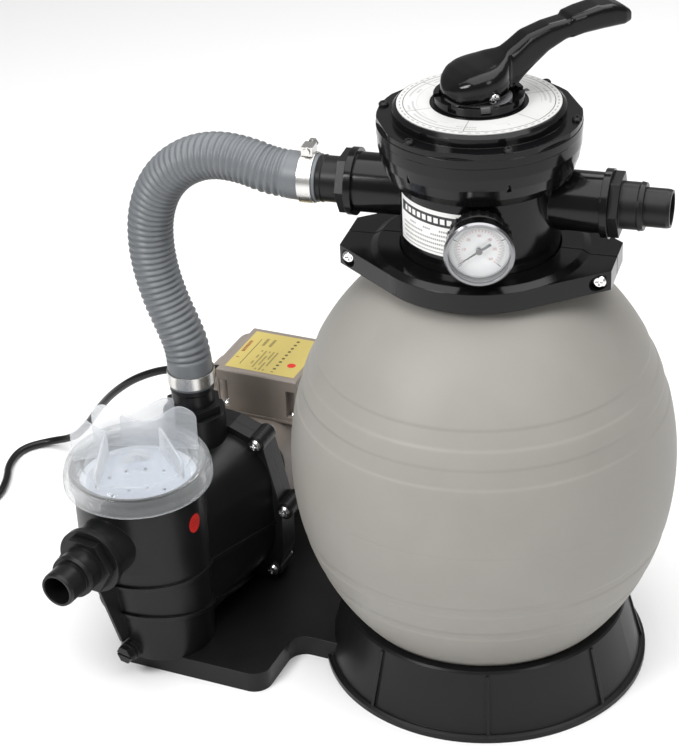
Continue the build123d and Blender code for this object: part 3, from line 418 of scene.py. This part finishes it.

# mains cord, its coil and tie

cordLook = dict(radius=0.004, length=1.69, coilCentre=(-0.6264, 0.0172), turns=4.25, perTurn=16,
                inner=0.040, outer=0.048, start=-53.13, low=0.0042, high=0.0119,
                intoPlug=[(-0.6745, 0.0081, 0.0112), (-0.6782, 0.0130, 0.011)])
cordRoute = [
    (-0.322, 0.106, 0.168), (-0.362, 0.103, 0.165), (-0.402, 0.101, 0.148), (-0.436, 0.108, 0.120),
    (-0.466, 0.122, 0.086), (-0.494, 0.141, 0.049), (-0.523, 0.157, 0.018), (-0.556, 0.160, 0.005),
    (-0.578, 0.138, 0.0042), (-0.575, 0.106, 0.0042), (-0.560, 0.078, 0.0042), (-0.552, 0.048, 0.0042),
    (-0.561, 0.018, 0.0042), (-0.579, -0.006, 0.0042),
]


def coilPoints():
    # turns run clockwise: outer and inner on the floor, then inner and outer on top of them
    start = radians(cordLook["start"])
    x, y = cordLook["coilCentre"]
    count = int(cordLook["turns"] * cordLook["perTurn"])
    turned = np.arange(count + 1) / cordLook["perTurn"]
    radius = np.interp(turned, [0, 0.75, 1.0, 2.9, 3.1, 5],
                       [cordLook["outer"], cordLook["outer"], cordLook["inner"], cordLook["inner"],
                        cordLook["outer"], cordLook["outer"]])
    height = np.interp(turned, [0, 1.85, 2.02, 5],
                       [cordLook["low"], cordLook["low"], cordLook["high"], cordLook["high"]])
    angle = start - turned * 2 * pi
    return [(x + r * cos(a), y + r * sin(a), z) for r, a, z in zip(radius, angle, height)]


def makeCord():
    # one curve: the route down to the floor, the coil's turns, and two points that lead into the plug
    points = cordRoute + coilPoints() + cordLook["intoPlug"]
    cord = splineObject("mainsCord", points, cordLook["radius"], 12)
    cord.data.materials.append(materials["cord_black"])
    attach(cord, "stand")
    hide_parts("power_cord", "cord_coil")
    return cord


tieLook = dict(width=0.009, turn=38.0, wall=0.0009, radius=0.044, height=0.0081, halfWide=0.0081,
               halfHigh=0.0078, power=0.42, around=40, rings=7)


def makeTie():
    # a strap round the coil's section: a rounded rectangle swept along a short arc of the coil
    x, y = cordLook["coilCentre"]
    t = np.linspace(0, 2 * pi, tieLook["around"], endpoint=False)
    halfWide = tieLook["halfWide"] - tieLook["wall"] * 0.2
    across = np.sign(np.cos(t)) * np.abs(np.cos(t)) ** tieLook["power"]
    upward = np.sign(np.sin(t)) * np.abs(np.sin(t)) ** tieLook["power"]
    swing = np.linspace(-0.5, 0.5, tieLook["rings"]) * tieLook["width"] / tieLook["radius"]
    spin = radians(tieLook["turn"]) + swing
    rings = []
    for grow in (1.0, 1.0 - tieLook["wall"] / halfWide):
        order = spin if grow == 1.0 else spin[::-1]
        for angle in order:
            r = tieLook["radius"] + across * halfWide * grow
            z = tieLook["height"] + upward * tieLook["halfHigh"] * grow
            rings.append(np.stack([x + r * np.cos(angle), y + r * np.sin(angle), z], 1))
    faces = gridFaces(len(rings), tieLook["around"], True, True)[:, ::-1]
    return meshPiece("coilTie", np.concatenate(rings), faces, "stand",
                     materials["rubber_black"])


cord = makeCord()
tie = makeTie()
print("cord laid")

# joining hose

hoseLook = dict(outer=0.0204, groove=0.0021, pitch=0.0058, cuff=0.027, fade=0.002, bore=0.0163, around=56,
                perRib=7)
hoseRoute = [
    (-0.275, -0.017, 0.2313), (-0.275, -0.017, 0.264), (-0.283, -0.017, 0.288), (-0.293, -0.017, 0.312),
    (-0.301, -0.017, 0.340), (-0.304, -0.017, 0.370), (-0.301, -0.017, 0.400), (-0.288, -0.017, 0.430),
    (-0.265, -0.017, 0.452), (-0.236, -0.0175, 0.464), (-0.204, -0.0195, 0.4645), (-0.1718, -0.0208, 0.456),
    (-0.1353, -0.0164, 0.456),
]


def makeHose():
    # rings of radius R(s) carried along the route: R dips by a rounded groove once per pitch,
    # and is plain in the cuffs
    guide = splineObject("hoseGuide", hoseRoute, 0.0, 24)
    line = routePoints(guide)
    bpy.data.objects.remove(guide)
    total = np.linalg.norm(np.diff(line, axis=0), axis=1).sum()
    count = int(total / hoseLook["pitch"] * hoseLook["perRib"])
    s, places, sides, ups = alongRoute(line, count)
    inRibs = np.clip((np.minimum(s, total - s) - hoseLook["cuff"]) / hoseLook["fade"], 0, 1)
    wave = 0.5 - 0.5 * np.cos(2 * pi * s / hoseLook["pitch"])
    radius = hoseLook["outer"] - hoseLook["groove"] * (1 - wave ** 0.6) * inRibs
    t = np.arange(hoseLook["around"]) * 2 * pi / hoseLook["around"]
    spoke = sides[:, None, :] * np.cos(t)[None, :, None] + ups[:, None, :] * np.sin(t)[None, :, None]
    skin = places[:, None, :] + spoke * radius[:, None, None]
    lining = (places[:, None, :] + spoke * hoseLook["bore"])[::-6]
    both = np.concatenate([skin, lining]).reshape(-1, 3)
    rows = skin.shape[0] + lining.shape[0]
    faces = gridFaces(rows, hoseLook["around"], True, True)
    hose = meshPiece("joiningHose", both, faces, "stand", materials["hose_grey"])
    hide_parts("transfer_hose")
    print("hose made, length", round(total, 3))


makeHose()

# tank skin with its shallow belts

tankLook = dict(radius=0.1675, half=0.2036, middle=0.2067, steps=256, depth=0.0008, soft=0.0005, seam=0.00018,
                wall=0.004, floor=0.0081, shoulder=0.398, top=0.4028, neck=0.067, flange=0.074, mouth=0.056,
                belts=[(0.299, 0.314), (0.2685, 0.284), (0.143, 0.1525), (0.112, 0.1205)])


def makeTank():
    # an ellipse turned about Z: r = R sqrt(1 - ((z - m) / h)^2), less a belt depth that rises and falls
    # smoothly and a fine seam round the middle
    look = tankLook
    z = np.r_[np.linspace(look["floor"], 0.0110, 6), np.linspace(0.0115, 0.3925, 620)]
    belt = sum(1 / (1 + np.exp(-(z - low) / look["soft"])) * 1 / (1 + np.exp((z - high) / look["soft"]))
               for low, high in look["belts"])
    outer = look["radius"] * np.sqrt(1 - ((z - look["middle"]) / look["half"]) ** 2) - belt * look["depth"]
    outer = outer - np.exp(-((z - look["middle"]) / look["soft"]) ** 2) * look["seam"]
    inner = np.maximum(outer[::-12] - look["wall"], 0.02)
    neck, flange, mouth = look["neck"], look["flange"], look["mouth"]
    radii = np.r_[0.0001, outer, neck, flange, flange, mouth, mouth, inner, 0.0001]
    inside = look["floor"] + 0.006
    heights = np.r_[look["floor"], z, look["shoulder"], look["shoulder"], look["top"], look["top"], 0.394,
                    np.clip(z[::-12], inside, 0.390), inside]
    vertices = turnedGrid(radii, heights, tankLook["steps"])
    tank = meshPiece("tankSkin", vertices, gridFaces(len(radii), tankLook["steps"], True, True), "stand",
                     materials["tank_plastic"])
    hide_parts("tank_shell")


makeTank()
print("tank made")

# clear strainer lid

lidLook = dict(centre=(-0.283, -0.113), steps=720, ribs=120, ribDepth=0.0006, finHalf=0.0011, finFoot=0.2036,
               # for each grip plate, its two ends in millimetres from the lid's centre, then the heights
               # of its top edge
               plates=[(((-28.0, -1.0), (-53.0, -20.0)), (229, 231, 236, 242, 246.5, 247.5, 244)),
                       (((-48.0, 10.0), (43.0, 36.0)),
                        (240, 247, 244, 236, 231, 229, 230, 234, 241, 247, 246, 238)),
                       (((-27.0, 23.0), (17.0, 45.0)), (231, 232, 236, 241, 246, 245)),
                       (((14.0, 20.0), (54.0, -14.0)), (230, 229, 227, 225, 224, 222)),
                       (((-27.0, -3.0), (-9.0, -56.0)), (230, 229, 227, 225, 224, 222))])


def makeLidShell():
    # a profile turned about the pot's axis; in the skirt the radius ripples by a small cosine, once per rib
    profile = [(0.0001, 202.5), (20, 202.0), (46.5, 200.3), (57.5, 200.3), (60.9, 200.3), (61, 199.5),
               (61, 186), (61.6, 184.6), (63, 184.2), (65.2, 184.3), (66.2, 185.2), (66.3, 186.2),
               (66.3, 188.0), (66.3, 190.0), (66.3, 192.0), (66.3, 194.0), (66.2, 195.4), (65.4, 196.4),
               (64.9, 197.4), (64.9, 200.2), (64.5, 201.6), (63.4, 202.2), (63.2, 203.8), (62.6, 205.0),
               (61.2, 205.6), (60.8, 206.8), (59.8, 207.4), (56, 207.8), (50.8, 207.9), (49.4, 207.3),
               (48.4, 205.6), (47.2, 203.7), (45.8, 203.5), (20, 205.0), (0.0001, 205.5)]
    radii, heights = np.array(profile).T / 1000
    t = np.arange(lidLook["steps"]) * 2 * pi / lidLook["steps"]
    inSkirt = ((heights > 0.1850) & (heights < 0.1957) & (radii > 0.065)).astype(float)
    ripple = lidLook["ribDepth"] * (0.5 - 0.5 * np.cos(lidLook["ribs"] * t))
    r = radii[:, None] - inSkirt[:, None] * ripple[None, :]
    x, y = lidLook["centre"]
    z = np.repeat(heights[:, None], len(t), 1)
    vertices = np.stack([x + r * np.cos(t), y + r * np.sin(t), z], 2).reshape(-1, 3)
    shell = meshPiece("lidShell", vertices, gridFaces(len(radii), len(t), True, True), "lid",
                      materials["clear_plastic"])
    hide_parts("strainer_lid")


def makeLidFins():
    # five upright plates of the grip: a straight foot between two places, and a top edge that follows
    # given heights and is rounded at both ends
    vertices, faces = [], []
    centre = np.array(lidLook["centre"])
    for (first, last), tops in lidLook["plates"]:
        ends = np.array((first, last)) / 1000
        along = (ends[1] - ends[0]) / np.linalg.norm(ends[1] - ends[0])
        across = np.array((-along[1], along[0]))
        share = np.linspace(0, 1, 60)
        wave = np.interp(share, np.linspace(0, 1, len(tops)), tops) / 1000
        wave = np.convolve(np.r_[[wave[0]] * 4, wave, [wave[-1]] * 4], np.ones(9) / 9, "valid")
        rounded = 0.004 * (1 - np.sqrt(1 - np.clip(1 - np.minimum(share, 1 - share) / 0.06, 0, 1) ** 2))
        floor = ends[0] + np.outer(share, ends[1] - ends[0])
        count = 2 * len(share)
        start = len(vertices)
        for inset, side in ((0.0004, -1.0), (0.0, -0.7), (0.0, 0.7), (0.0004, 1.0)):
            flat = centre + floor + across * side * lidLook["finHalf"]
            vertices += [(x, y, lidLook["finFoot"]) for x, y in flat]
            vertices += [(x, y, z - inset) for (x, y), z in zip(flat[::-1], (wave - rounded)[::-1])]
        faces += (gridFaces(4, count, False, True)[:, ::-1] + start).tolist()
        faces.append([start + k for k in range(count)])
        faces.append([start + 3 * count + k for k in range(count)][::-1])
    fins = meshPiece("lidFins", vertices, faces, "lid", materials["frosted_plastic"])
    sides = np.array([len(face.vertices) == 4 for face in fins.data.polygons])
    fins.data.polygons.foreach_set("use_smooth", sides)


makeLidShell()
makeLidFins()
print("lid made")

# lever handle

leverLook = dict(turn=48.8, hub=0.0278, shift=-0.0035, around=96, pin=0.0052, pinHeight=0.5475, recess=0.024)


def cutBar(piece, turn, reach, height, radius):
    # takes a round bar out of a piece: it starts at a distance from the Z axis and runs level and outward
    t = np.arange(40) * 2 * pi / 40
    out, side = np.array((cos(turn), sin(turn), 0.0)), np.array((-sin(turn), cos(turn), 0.0))
    rim = radius * (np.outer(np.cos(t), side) + np.outer(np.sin(t), (0, 0, 1.0))) + (0, 0, height)
    mesh = bpy.data.meshes.new("cutter")
    faces = gridFaces(2, 40, False, True)[:, ::-1].tolist() + [list(range(39, -1, -1)), list(range(40, 80))]
    mesh.from_pydata(np.concatenate([rim + out * reach, rim + out * 0.04]).tolist(), [], faces)
    cutter = bpy.data.objects.new("cutter", mesh)
    bpy.context.scene.collection.objects.link(cutter)
    cut = piece.modifiers.new("cut", "BOOLEAN")
    cut.operation = "DIFFERENCE"
    cut.object = cutter
    cut.solver = "EXACT"
    shape = bpy.data.meshes.new_from_object(piece.evaluated_get(bpy.context.evaluated_depsgraph_get()))
    piece.modifiers.remove(cut)
    piece.data = shape
    bpy.data.objects.remove(cutter)


def evened(values):
    # each value becomes the mean of itself and its two neighbours
    return np.convolve(np.r_[values[0], values, values[-1]], np.ones(3) / 3, "valid")


def makeLever():
    # sections across the lever's length: half width W(x), top T(x) and underside B(x), each a rounded
    # box of power p
    x = np.r_[np.linspace(-0.03125, -0.026, 12), np.linspace(-0.0255, 0.133, 160),
              np.linspace(0.1335, 0.1371, 12)]
    hub = np.sqrt(np.clip(leverLook["hub"] ** 2 - (x - leverLook["shift"]) ** 2, 0, None))
    neck = np.interp(x, [0, 0.02, 0.04, 0.06, 0.078, 0.0795, 0.090, 0.115, 0.128, 0.1345, 0.1372],
                     [0.0, 0.012, 0.0112, 0.0105, 0.0108, 0.0122, 0.0135, 0.0137, 0.0126, 0.0095, 0.004])
    wide = np.maximum((hub ** 6 + np.clip(neck, 0, None) ** 6) ** (1 / 6), 0.0004)
    top = np.interp(x, [-0.0315, -0.030, -0.026, -0.018, -0.008, 0.008, 0.020, 0.030, 0.041, 0.060, 0.0775,
                        0.0795, 0.092, 0.105, 0.118, 0.128, 0.134, 0.1372],
                    [0.5510, 0.5555, 0.5605, 0.5655, 0.5685, 0.5710, 0.5748, 0.5800, 0.5866, 0.5908, 0.5920,
                     0.5944, 0.5966, 0.5983, 0.5978, 0.5942, 0.5895, 0.5840])
    low = np.interp(x, [-0.0315, -0.029, -0.024, 0.024, 0.029, 0.035, 0.045, 0.0585, 0.074, 0.090, 0.110,
                        0.128, 0.134, 0.1372],
                    [0.5500, 0.5440, 0.5412, 0.5412, 0.5440, 0.5505, 0.5585, 0.5682, 0.5752, 0.5782, 0.5785,
                     0.5780, 0.5792, 0.5820])
    top, low, wide = evened(top), evened(low), np.maximum(evened(wide), 0.0004)
    t = np.linspace(0, 2 * pi, leverLook["around"], endpoint=False)
    power = np.interp(x, [-0.0315, 0.02, 0.05, 0.078, 0.08, 0.1372], [0.55, 0.52, 0.46, 0.44, 0.36, 0.45])
    middle, half = (top + low) / 2, (top - low) / 2
    c, s = np.cos(t)[None, :], np.sin(t)[None, :]
    y = wide[:, None] * np.sign(c) * np.abs(c) ** power[:, None]
    z = middle[:, None] + half[:, None] * np.sign(s) * np.abs(s) ** power[:, None]
    rows = np.repeat(x[:, None], len(t), 1)
    turn = radians(leverLook["turn"])
    body = np.stack([rows * cos(turn) - y * sin(turn), rows * sin(turn) + y * cos(turn), z], 2).reshape(-1, 3)
    ends = [body[:len(t)].mean(0), body[-len(t):].mean(0)]
    vertices = np.concatenate([body, ends])
    faces = gridFaces(len(x), len(t), False, True).tolist()
    last = (len(x) - 1) * len(t)
    for k in range(len(t)):
        n = (k + 1) % len(t)
        faces.append([len(body), n, k])
        faces.append([len(body) + 1, last + k, last + n])
    lever = meshPiece("leverHandle", vertices, faces, "handle", materials["black_gloss"])
    for side in (-1, 1):
        cutBar(lever, turn + side * pi / 2, leverLook["recess"], leverLook["pinHeight"], leverLook["pin"])
    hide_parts("valve_handle")


makeLever()
print("lever made")

# printed labels: neck, gauge face, strainer sticker and wiring cover

labelLook = dict(radius=0.06615, low=0.4275, high=0.4665, left=-142.0, span=63.0, rows=24, columns=60,
                 paper=(0.80, 0.80, 0.78, 1.0), header=(0.012, 0.012, 0.014, 1.0),
                 ink=(0.05, 0.05, 0.05, 1.0))


def paintedMaterial(name, paint, rough=0.35):
    # a printed face: paint(tree, u, v) gives the colour from the piece's own UV map
    material, tree, shader = startMaterial(name)
    place = put(tree, "UVMap", uv_map="UVMap").outputs[0]
    parts = put(tree, "SeparateXYZ", {0: place})
    grain = put(tree, "Group", node_tree=grainGroup)
    tree.links.new(paint(tree, place, parts.outputs[0], parts.outputs[1]), shader.inputs["Base Color"])
    tree.links.new(spread(tree, grain.outputs["Mottle"], 0, 1, rough - 0.05, rough + 0.05),
                   shader.inputs["Roughness"])
    bump = put(tree, "Bump", {"Height": grain.outputs["Height"], "Strength": 0.2, "Distance": 0.00002})
    tree.links.new(bump.outputs[0], shader.inputs["Normal"])
    return material


def between(tree, value, low, high):
    return calc(tree, "MULTIPLY", calc(tree, "GREATER_THAN", value, low),
                calc(tree, "LESS_THAN", value, high))


def barsIn(tree, place, rows, words, gaps=0.2):
    bars = put(tree, "Group", {"Vector": place}, node_tree=linesGroup)
    bars.inputs["Rows"].default_value = rows
    bars.inputs["Words"].default_value = words
    bars.inputs["Gaps"].default_value = gaps
    return bars.outputs["Ink"]


def product(tree, *values):
    result = values[0]
    for value in values[1:]:
        result = calc(tree, "MULTIPLY", result, value)
    return result


def neckPaint(tree, place, u, v):
    # a dark header with white blocks over rows of small bars and a thin closing line
    head = product(tree, between(tree, v, 0.66, 0.90), between(tree, u, 0.04, 0.975))
    blocks = calc(tree, "GREATER_THAN", calc(tree, "FRACT", calc(tree, "MULTIPLY", u, 12.0)), 0.32)
    word = product(tree, blocks, between(tree, v, 0.72, 0.84), between(tree, u, 0.12, 0.86))
    small = product(tree, barsIn(tree, place, 10.0, 9.0), between(tree, v, 0.10, 0.60),
                    between(tree, u, 0.08, 0.94))
    frameLine = calc(tree, "COMPARE", v, 0.065, 0.008)
    tone = blendColours(tree, calc(tree, "MULTIPLY", calc(tree, "MAXIMUM", small, frameLine), 0.75),
                        labelLook["paper"], labelLook["ink"])
    tone = blendColours(tree, head, tone, labelLook["header"])
    return blendColours(tree, word, tone, labelLook["paper"])


def makeNeckLabel():
    # a patch of the neck's cylinder: angle across, height up, with its right end cut back round the
    # gauge's boss
    rows, columns = labelLook["rows"], labelLook["columns"]
    u, v = np.linspace(0, 1, columns), np.linspace(0, 1, rows)
    z = labelLook["low"] + v * (labelLook["high"] - labelLook["low"])
    right = np.interp(z, [0.4275, 0.449, 0.457, 0.4665], [-93.0, -92.0, -88.5, -79.5])
    angle = np.radians(labelLook["left"] + u[None, :] * (right[:, None] - labelLook["left"]))
    r = labelLook["radius"]
    vertices = np.stack([r * np.cos(angle), r * np.sin(angle), np.repeat(z[:, None], columns, 1)],
                        2).reshape(-1, 3)
    uv = np.stack([(np.degrees(angle).ravel() - labelLook["left"]) / labelLook["span"],
                   np.repeat(v, columns)], 1)
    meshPiece("neckLabel", vertices, gridFaces(rows, columns), "stand",
              paintedMaterial("neckPrint", neckPaint), uv)


makeNeckLabel()

stickerLook = dict(centre=(-0.283, -0.113), radius=0.0582, angle=-8.0, height=0.155, wide=0.0078, tall=0.0092)


def stickerPaint(tree, place, u, v):
    # red, with a darker rim and three rows of bars in the middle
    radius = put(tree, "VectorMath", {0: place}, operation="LENGTH").outputs["Value"]
    rim = calc(tree, "COMPARE", radius, 0.90, 0.035)
    marks = product(tree, barsIn(tree, place, 3.0, 3.0, 0.15), calc(tree, "LESS_THAN", radius, 0.72))
    tone = blendColours(tree, calc(tree, "MULTIPLY", marks, 0.8), (0.52, 0.02, 0.015, 1.0),
                        (0.05, 0.01, 0.01, 1.0))
    return blendColours(tree, calc(tree, "MULTIPLY", rim, 0.5), tone, (0.2, 0.01, 0.01, 1.0))


def makeSticker():
    # an oval on the pot's cylinder: polar rings mapped to angle and height
    rho, phi = np.linspace(0.001, 1, 10), np.arange(48) * 2 * pi / 48
    a = np.outer(rho, np.cos(phi))
    b = np.outer(rho, np.sin(phi))
    angle = radians(stickerLook["angle"]) + a * stickerLook["wide"] / stickerLook["radius"]
    x = stickerLook["centre"][0] + stickerLook["radius"] * np.cos(angle)
    y = stickerLook["centre"][1] + stickerLook["radius"] * np.sin(angle)
    z = stickerLook["height"] + b * stickerLook["tall"]
    vertices = np.stack([x, y, z], 2).reshape(-1, 3)
    meshPiece("potSticker", vertices, gridFaces(10, 48, False, True), "stand",
              paintedMaterial("stickerPrint", stickerPaint), np.stack([a.ravel(), b.ravel()], 1))


makeSticker()

coverLook = dict(left=-0.2865, right=-0.2145, front=0.0685, back=0.1395, height=0.20015)


def coverPaint(tree, place, u, v):
    # straw paper with a title bar, a rule, two blocks of bars, a row of dots and one red spot
    title = product(tree, barsIn(tree, place, 9.0, 7.0, 0.15), between(tree, v, 0.03, 0.11),
                    between(tree, u, 0.27, 0.74))
    rule = product(tree, calc(tree, "COMPARE", v, 0.165, 0.006), between(tree, u, 0.12, 0.82))
    second = product(tree, barsIn(tree, place, 18.0, 12.0), between(tree, v, 0.28, 0.56),
                     between(tree, u, 0.04, 0.55))
    third = product(tree, barsIn(tree, place, 10.0, 10.0), between(tree, v, 0.20, 0.40),
                    between(tree, u, 0.66, 0.86))
    row = calc(tree, "SUBTRACT", calc(tree, "FRACT", calc(tree, "MULTIPLY", u, 10.5)), 0.5)
    offset = put(tree, "CombineXYZ", {0: calc(tree, "DIVIDE", row, 10.5), 1: calc(tree, "SUBTRACT", v, 0.66)})
    fromDot = put(tree, "VectorMath", {0: offset.outputs[0]}, operation="LENGTH").outputs["Value"]
    dots = product(tree, calc(tree, "LESS_THAN", fromDot, 0.024), between(tree, u, 0.05, 0.95))
    away = put(tree, "VectorMath", {0: place, 1: (0.29, 0.84, 0)}, operation="DISTANCE").outputs["Value"]
    spot = calc(tree, "LESS_THAN", away, 0.058)
    dark = calc(tree, "MAXIMUM", calc(tree, "MAXIMUM", second, third), calc(tree, "MAXIMUM", dots, rule))
    tone = blendColours(tree, calc(tree, "MULTIPLY", dark, 0.8), (0.52, 0.42, 0.13, 1.0),
                        (0.04, 0.035, 0.02, 1.0))
    tone = blendColours(tree, title, tone, (0.22, 0.03, 0.01, 1.0))
    return blendColours(tree, spot, tone, (0.62, 0.03, 0.02, 1.0))


def makeCoverLabel():
    # a flat grid: v runs along x and u along y
    u, v = np.meshgrid(np.linspace(0, 1, 16), np.linspace(0, 1, 16))
    x = coverLook["left"] + v * (coverLook["right"] - coverLook["left"])
    y = coverLook["front"] + u * (coverLook["back"] - coverLook["front"])
    vertices = np.stack([x, y, np.full_like(x, coverLook["height"])], 2).reshape(-1, 3)
    meshPiece("coverLabel", vertices, gridFaces(16, 16)[:, ::-1], "stand",
              paintedMaterial("coverPrint", coverPaint), np.stack([u.ravel(), v.ravel()], 1))


makeCoverLabel()

dialLook = dict(turn=-70.0, height=0.449, face=0.0902, radius=0.0248, hole=0.066, wall=0.0008, half=132.0,
                figures=7, figureSize=0.0033, figureRing=0.0121)


def onDial(points, lift=0.0):
    # flat (x, y) dial points to the gauge's own plane, which faces outward at its turn
    turn = radians(dialLook["turn"])
    out = np.array((cos(turn), sin(turn), 0.0))
    right = np.array((-sin(turn), cos(turn), 0.0))
    points = np.atleast_2d(points)
    middle = out * (dialLook["face"] + lift) + np.array((0, 0, dialLook["height"]))
    return middle + np.outer(points[:, 0], right) + np.outer(points[:, 1], (0, 0, 1.0))


def ticks(tree, share, count, width):
    # a bar at each whole number of count times a share that runs from 0 to 1
    step = calc(tree, "FRACT", calc(tree, "ADD", calc(tree, "MULTIPLY", share, count), 0.5))
    return calc(tree, "COMPARE", step, 0.5, width)


def dialPaint(tree, place, u, v):
    # angle is measured from the top: fine and long black ticks, a thin arc and red ticks inside it
    radius = put(tree, "VectorMath", {0: place}, operation="LENGTH").outputs["Value"]
    angle = calc(tree, "ARCTAN2", u, v)
    half = dialLook["half"]
    share = spread(tree, angle, -radians(half), radians(half))
    inScale = calc(tree, "LESS_THAN", calc(tree, "ABSOLUTE", angle), radians(half + 1))
    fineTick, longTick = ticks(tree, share, 60.0, 0.13), ticks(tree, share, 4.0, 0.016)
    redTick = ticks(tree, share, 30.0, 0.10)
    black = product(tree, fineTick, between(tree, radius, 0.73, 0.80), inScale)
    black = calc(tree, "MAXIMUM", black, product(tree, longTick, between(tree, radius, 0.73, 0.90), inScale))
    red = product(tree, redTick, between(tree, radius, 0.62, 0.69), inScale)
    arc = product(tree, calc(tree, "COMPARE", radius, 0.71, 0.008), inScale)
    tone = blendColours(tree, calc(tree, "MAXIMUM", black, calc(tree, "MULTIPLY", arc, 0.6)),
                        (0.86, 0.87, 0.87, 1.0), (0.03, 0.03, 0.03, 1.0))
    return blendColours(tree, red, tone, (0.55, 0.05, 0.04, 1.0))


def makeDial():
    # rings from the centre hole to the rim: x = r cos a, y = r sin a, with a back one wall behind the front
    rho, phi = np.linspace(dialLook["hole"], 1, 14), np.arange(96) * 2 * pi / 96
    a, b = np.outer(rho, np.cos(phi)), np.outer(rho, np.sin(phi))
    front = onDial(np.stack([a.ravel(), b.ravel()], 1) * dialLook["radius"])
    back = onDial(np.stack([a[::-1].ravel(), b[::-1].ravel()], 1) * dialLook["radius"], -dialLook["wall"])
    uv = np.concatenate([np.stack([a.ravel(), b.ravel()], 1),
                         np.stack([a[::-1].ravel(), b[::-1].ravel()], 1)])
    dial = meshPiece("gaugeFace", np.concatenate([front, back]), gridFaces(28, 96, True, True), "stand",
                     paintedMaterial("dialPrint", dialPaint, 0.4), uv)
    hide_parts("gauge_dial")


def makeNumbers():
    # small figures round the scale: text outlines turned into one mesh in the gauge's plane
    vertices, faces, start = [], [], 0
    for index in range(dialLook["figures"]):
        bend = radians(dialLook["half"] * (2 * index / (dialLook["figures"] - 1) - 1))
        text = bpy.data.curves.new("figure", "FONT")
        text.body = str(10 * index)
        text.size = dialLook["figureSize"]
        text.align_x, text.align_y = "CENTER", "CENTER"
        holder = bpy.data.objects.new("figure", text)
        mesh = bpy.data.meshes.new_from_object(holder)
        flat = np.zeros(len(mesh.vertices) * 3)
        mesh.vertices.foreach_get("co", flat)
        flat = flat.reshape(-1, 3)[:, :2] + np.array((sin(bend), cos(bend))) * dialLook["figureRing"]
        vertices.append(onDial(flat, 0.00012))
        faces += [[start + corner for corner in polygon.vertices] for polygon in mesh.polygons]
        start += len(flat)
        bpy.data.objects.remove(holder)
        bpy.data.meshes.remove(mesh)
        bpy.data.curves.remove(text)
    meshPiece("gaugeFigures", np.concatenate(vertices), faces, "stand",
              grained("figureInk", (0.42, 0.04, 0.03), (0.50, 0.06, 0.05), 0.4, edge=0.0001, edgeHighlightTone=0.0,
                      dust=0.0))


makeDial()
makeNumbers()
print("labels made")

# floor and light

lightLook = dict(world=0.30, top=98.0, key=24.0, fill=7.0, rim=8.0, floor=6.0)


def makeStage():
    # a flat floor and four soft lamps
    t = np.linspace(-lightLook["floor"], lightLook["floor"], 9)
    x, y = np.meshgrid(t, t)
    mesh = bpy.data.meshes.new("floor")
    mesh.from_pydata(np.stack([x, y, np.zeros_like(x)], 2).reshape(-1, 3).tolist(), [],
                     gridFaces(9, 9).tolist())
    floor = bpy.data.objects.new("floor", mesh)
    bpy.context.scene.collection.objects.link(floor)
    material, tree, shader = startMaterial("paleFloor")
    noise = put(tree, "TexNoise", {"Scale": 3.0})
    tree.links.new(blendColours(tree, noise.outputs[0], (0.86, 0.86, 0.86, 1), (0.90, 0.90, 0.90, 1)),
                   shader.inputs["Base Color"])
    shader.inputs["Roughness"].default_value = 0.75
    mesh.materials.append(material)
    world = bpy.data.worlds.new("studio")
    world.use_nodes = True
    back = world.node_tree.nodes["Background"]
    back.inputs["Color"].default_value = (1.0, 1.0, 1.0, 1.0)
    back.inputs["Strength"].default_value = lightLook["world"]
    bpy.context.scene.world = world
    for name, place, aim, size, power in (
            ("top", (0.2, -0.2, 2.6), (0, 0, 0), (3.2, 3.2), lightLook["top"]),
            ("key", (-0.8, -1.5, 1.5), (-0.05, 0, 0.25), (0.6, 0.6), lightLook["key"]),
            ("fill", (1.7, -0.9, 1.2), (0, 0, 0.3), (0.5, 1.0), lightLook["fill"]),
            ("rim", (0.2, 1.5, 1.9), (0, 0, 0.3), (1.6, 0.6), lightLook["rim"])):
        lamp = bpy.data.lights.new(name, "AREA")
        lamp.shape = "RECTANGLE"
        lamp.size, lamp.size_y = size
        lamp.energy = power
        holder = bpy.data.objects.new(name, lamp)
        holder.location = place
        holder.rotation_euler = (Vector(aim) - Vector(place)).to_track_quat("-Z", "Y").to_euler()
        bpy.context.scene.collection.objects.link(holder)


makeStage()
bpy.context.scene.view_settings.view_transform = "Standard"
bpy.context.view_layer.update()
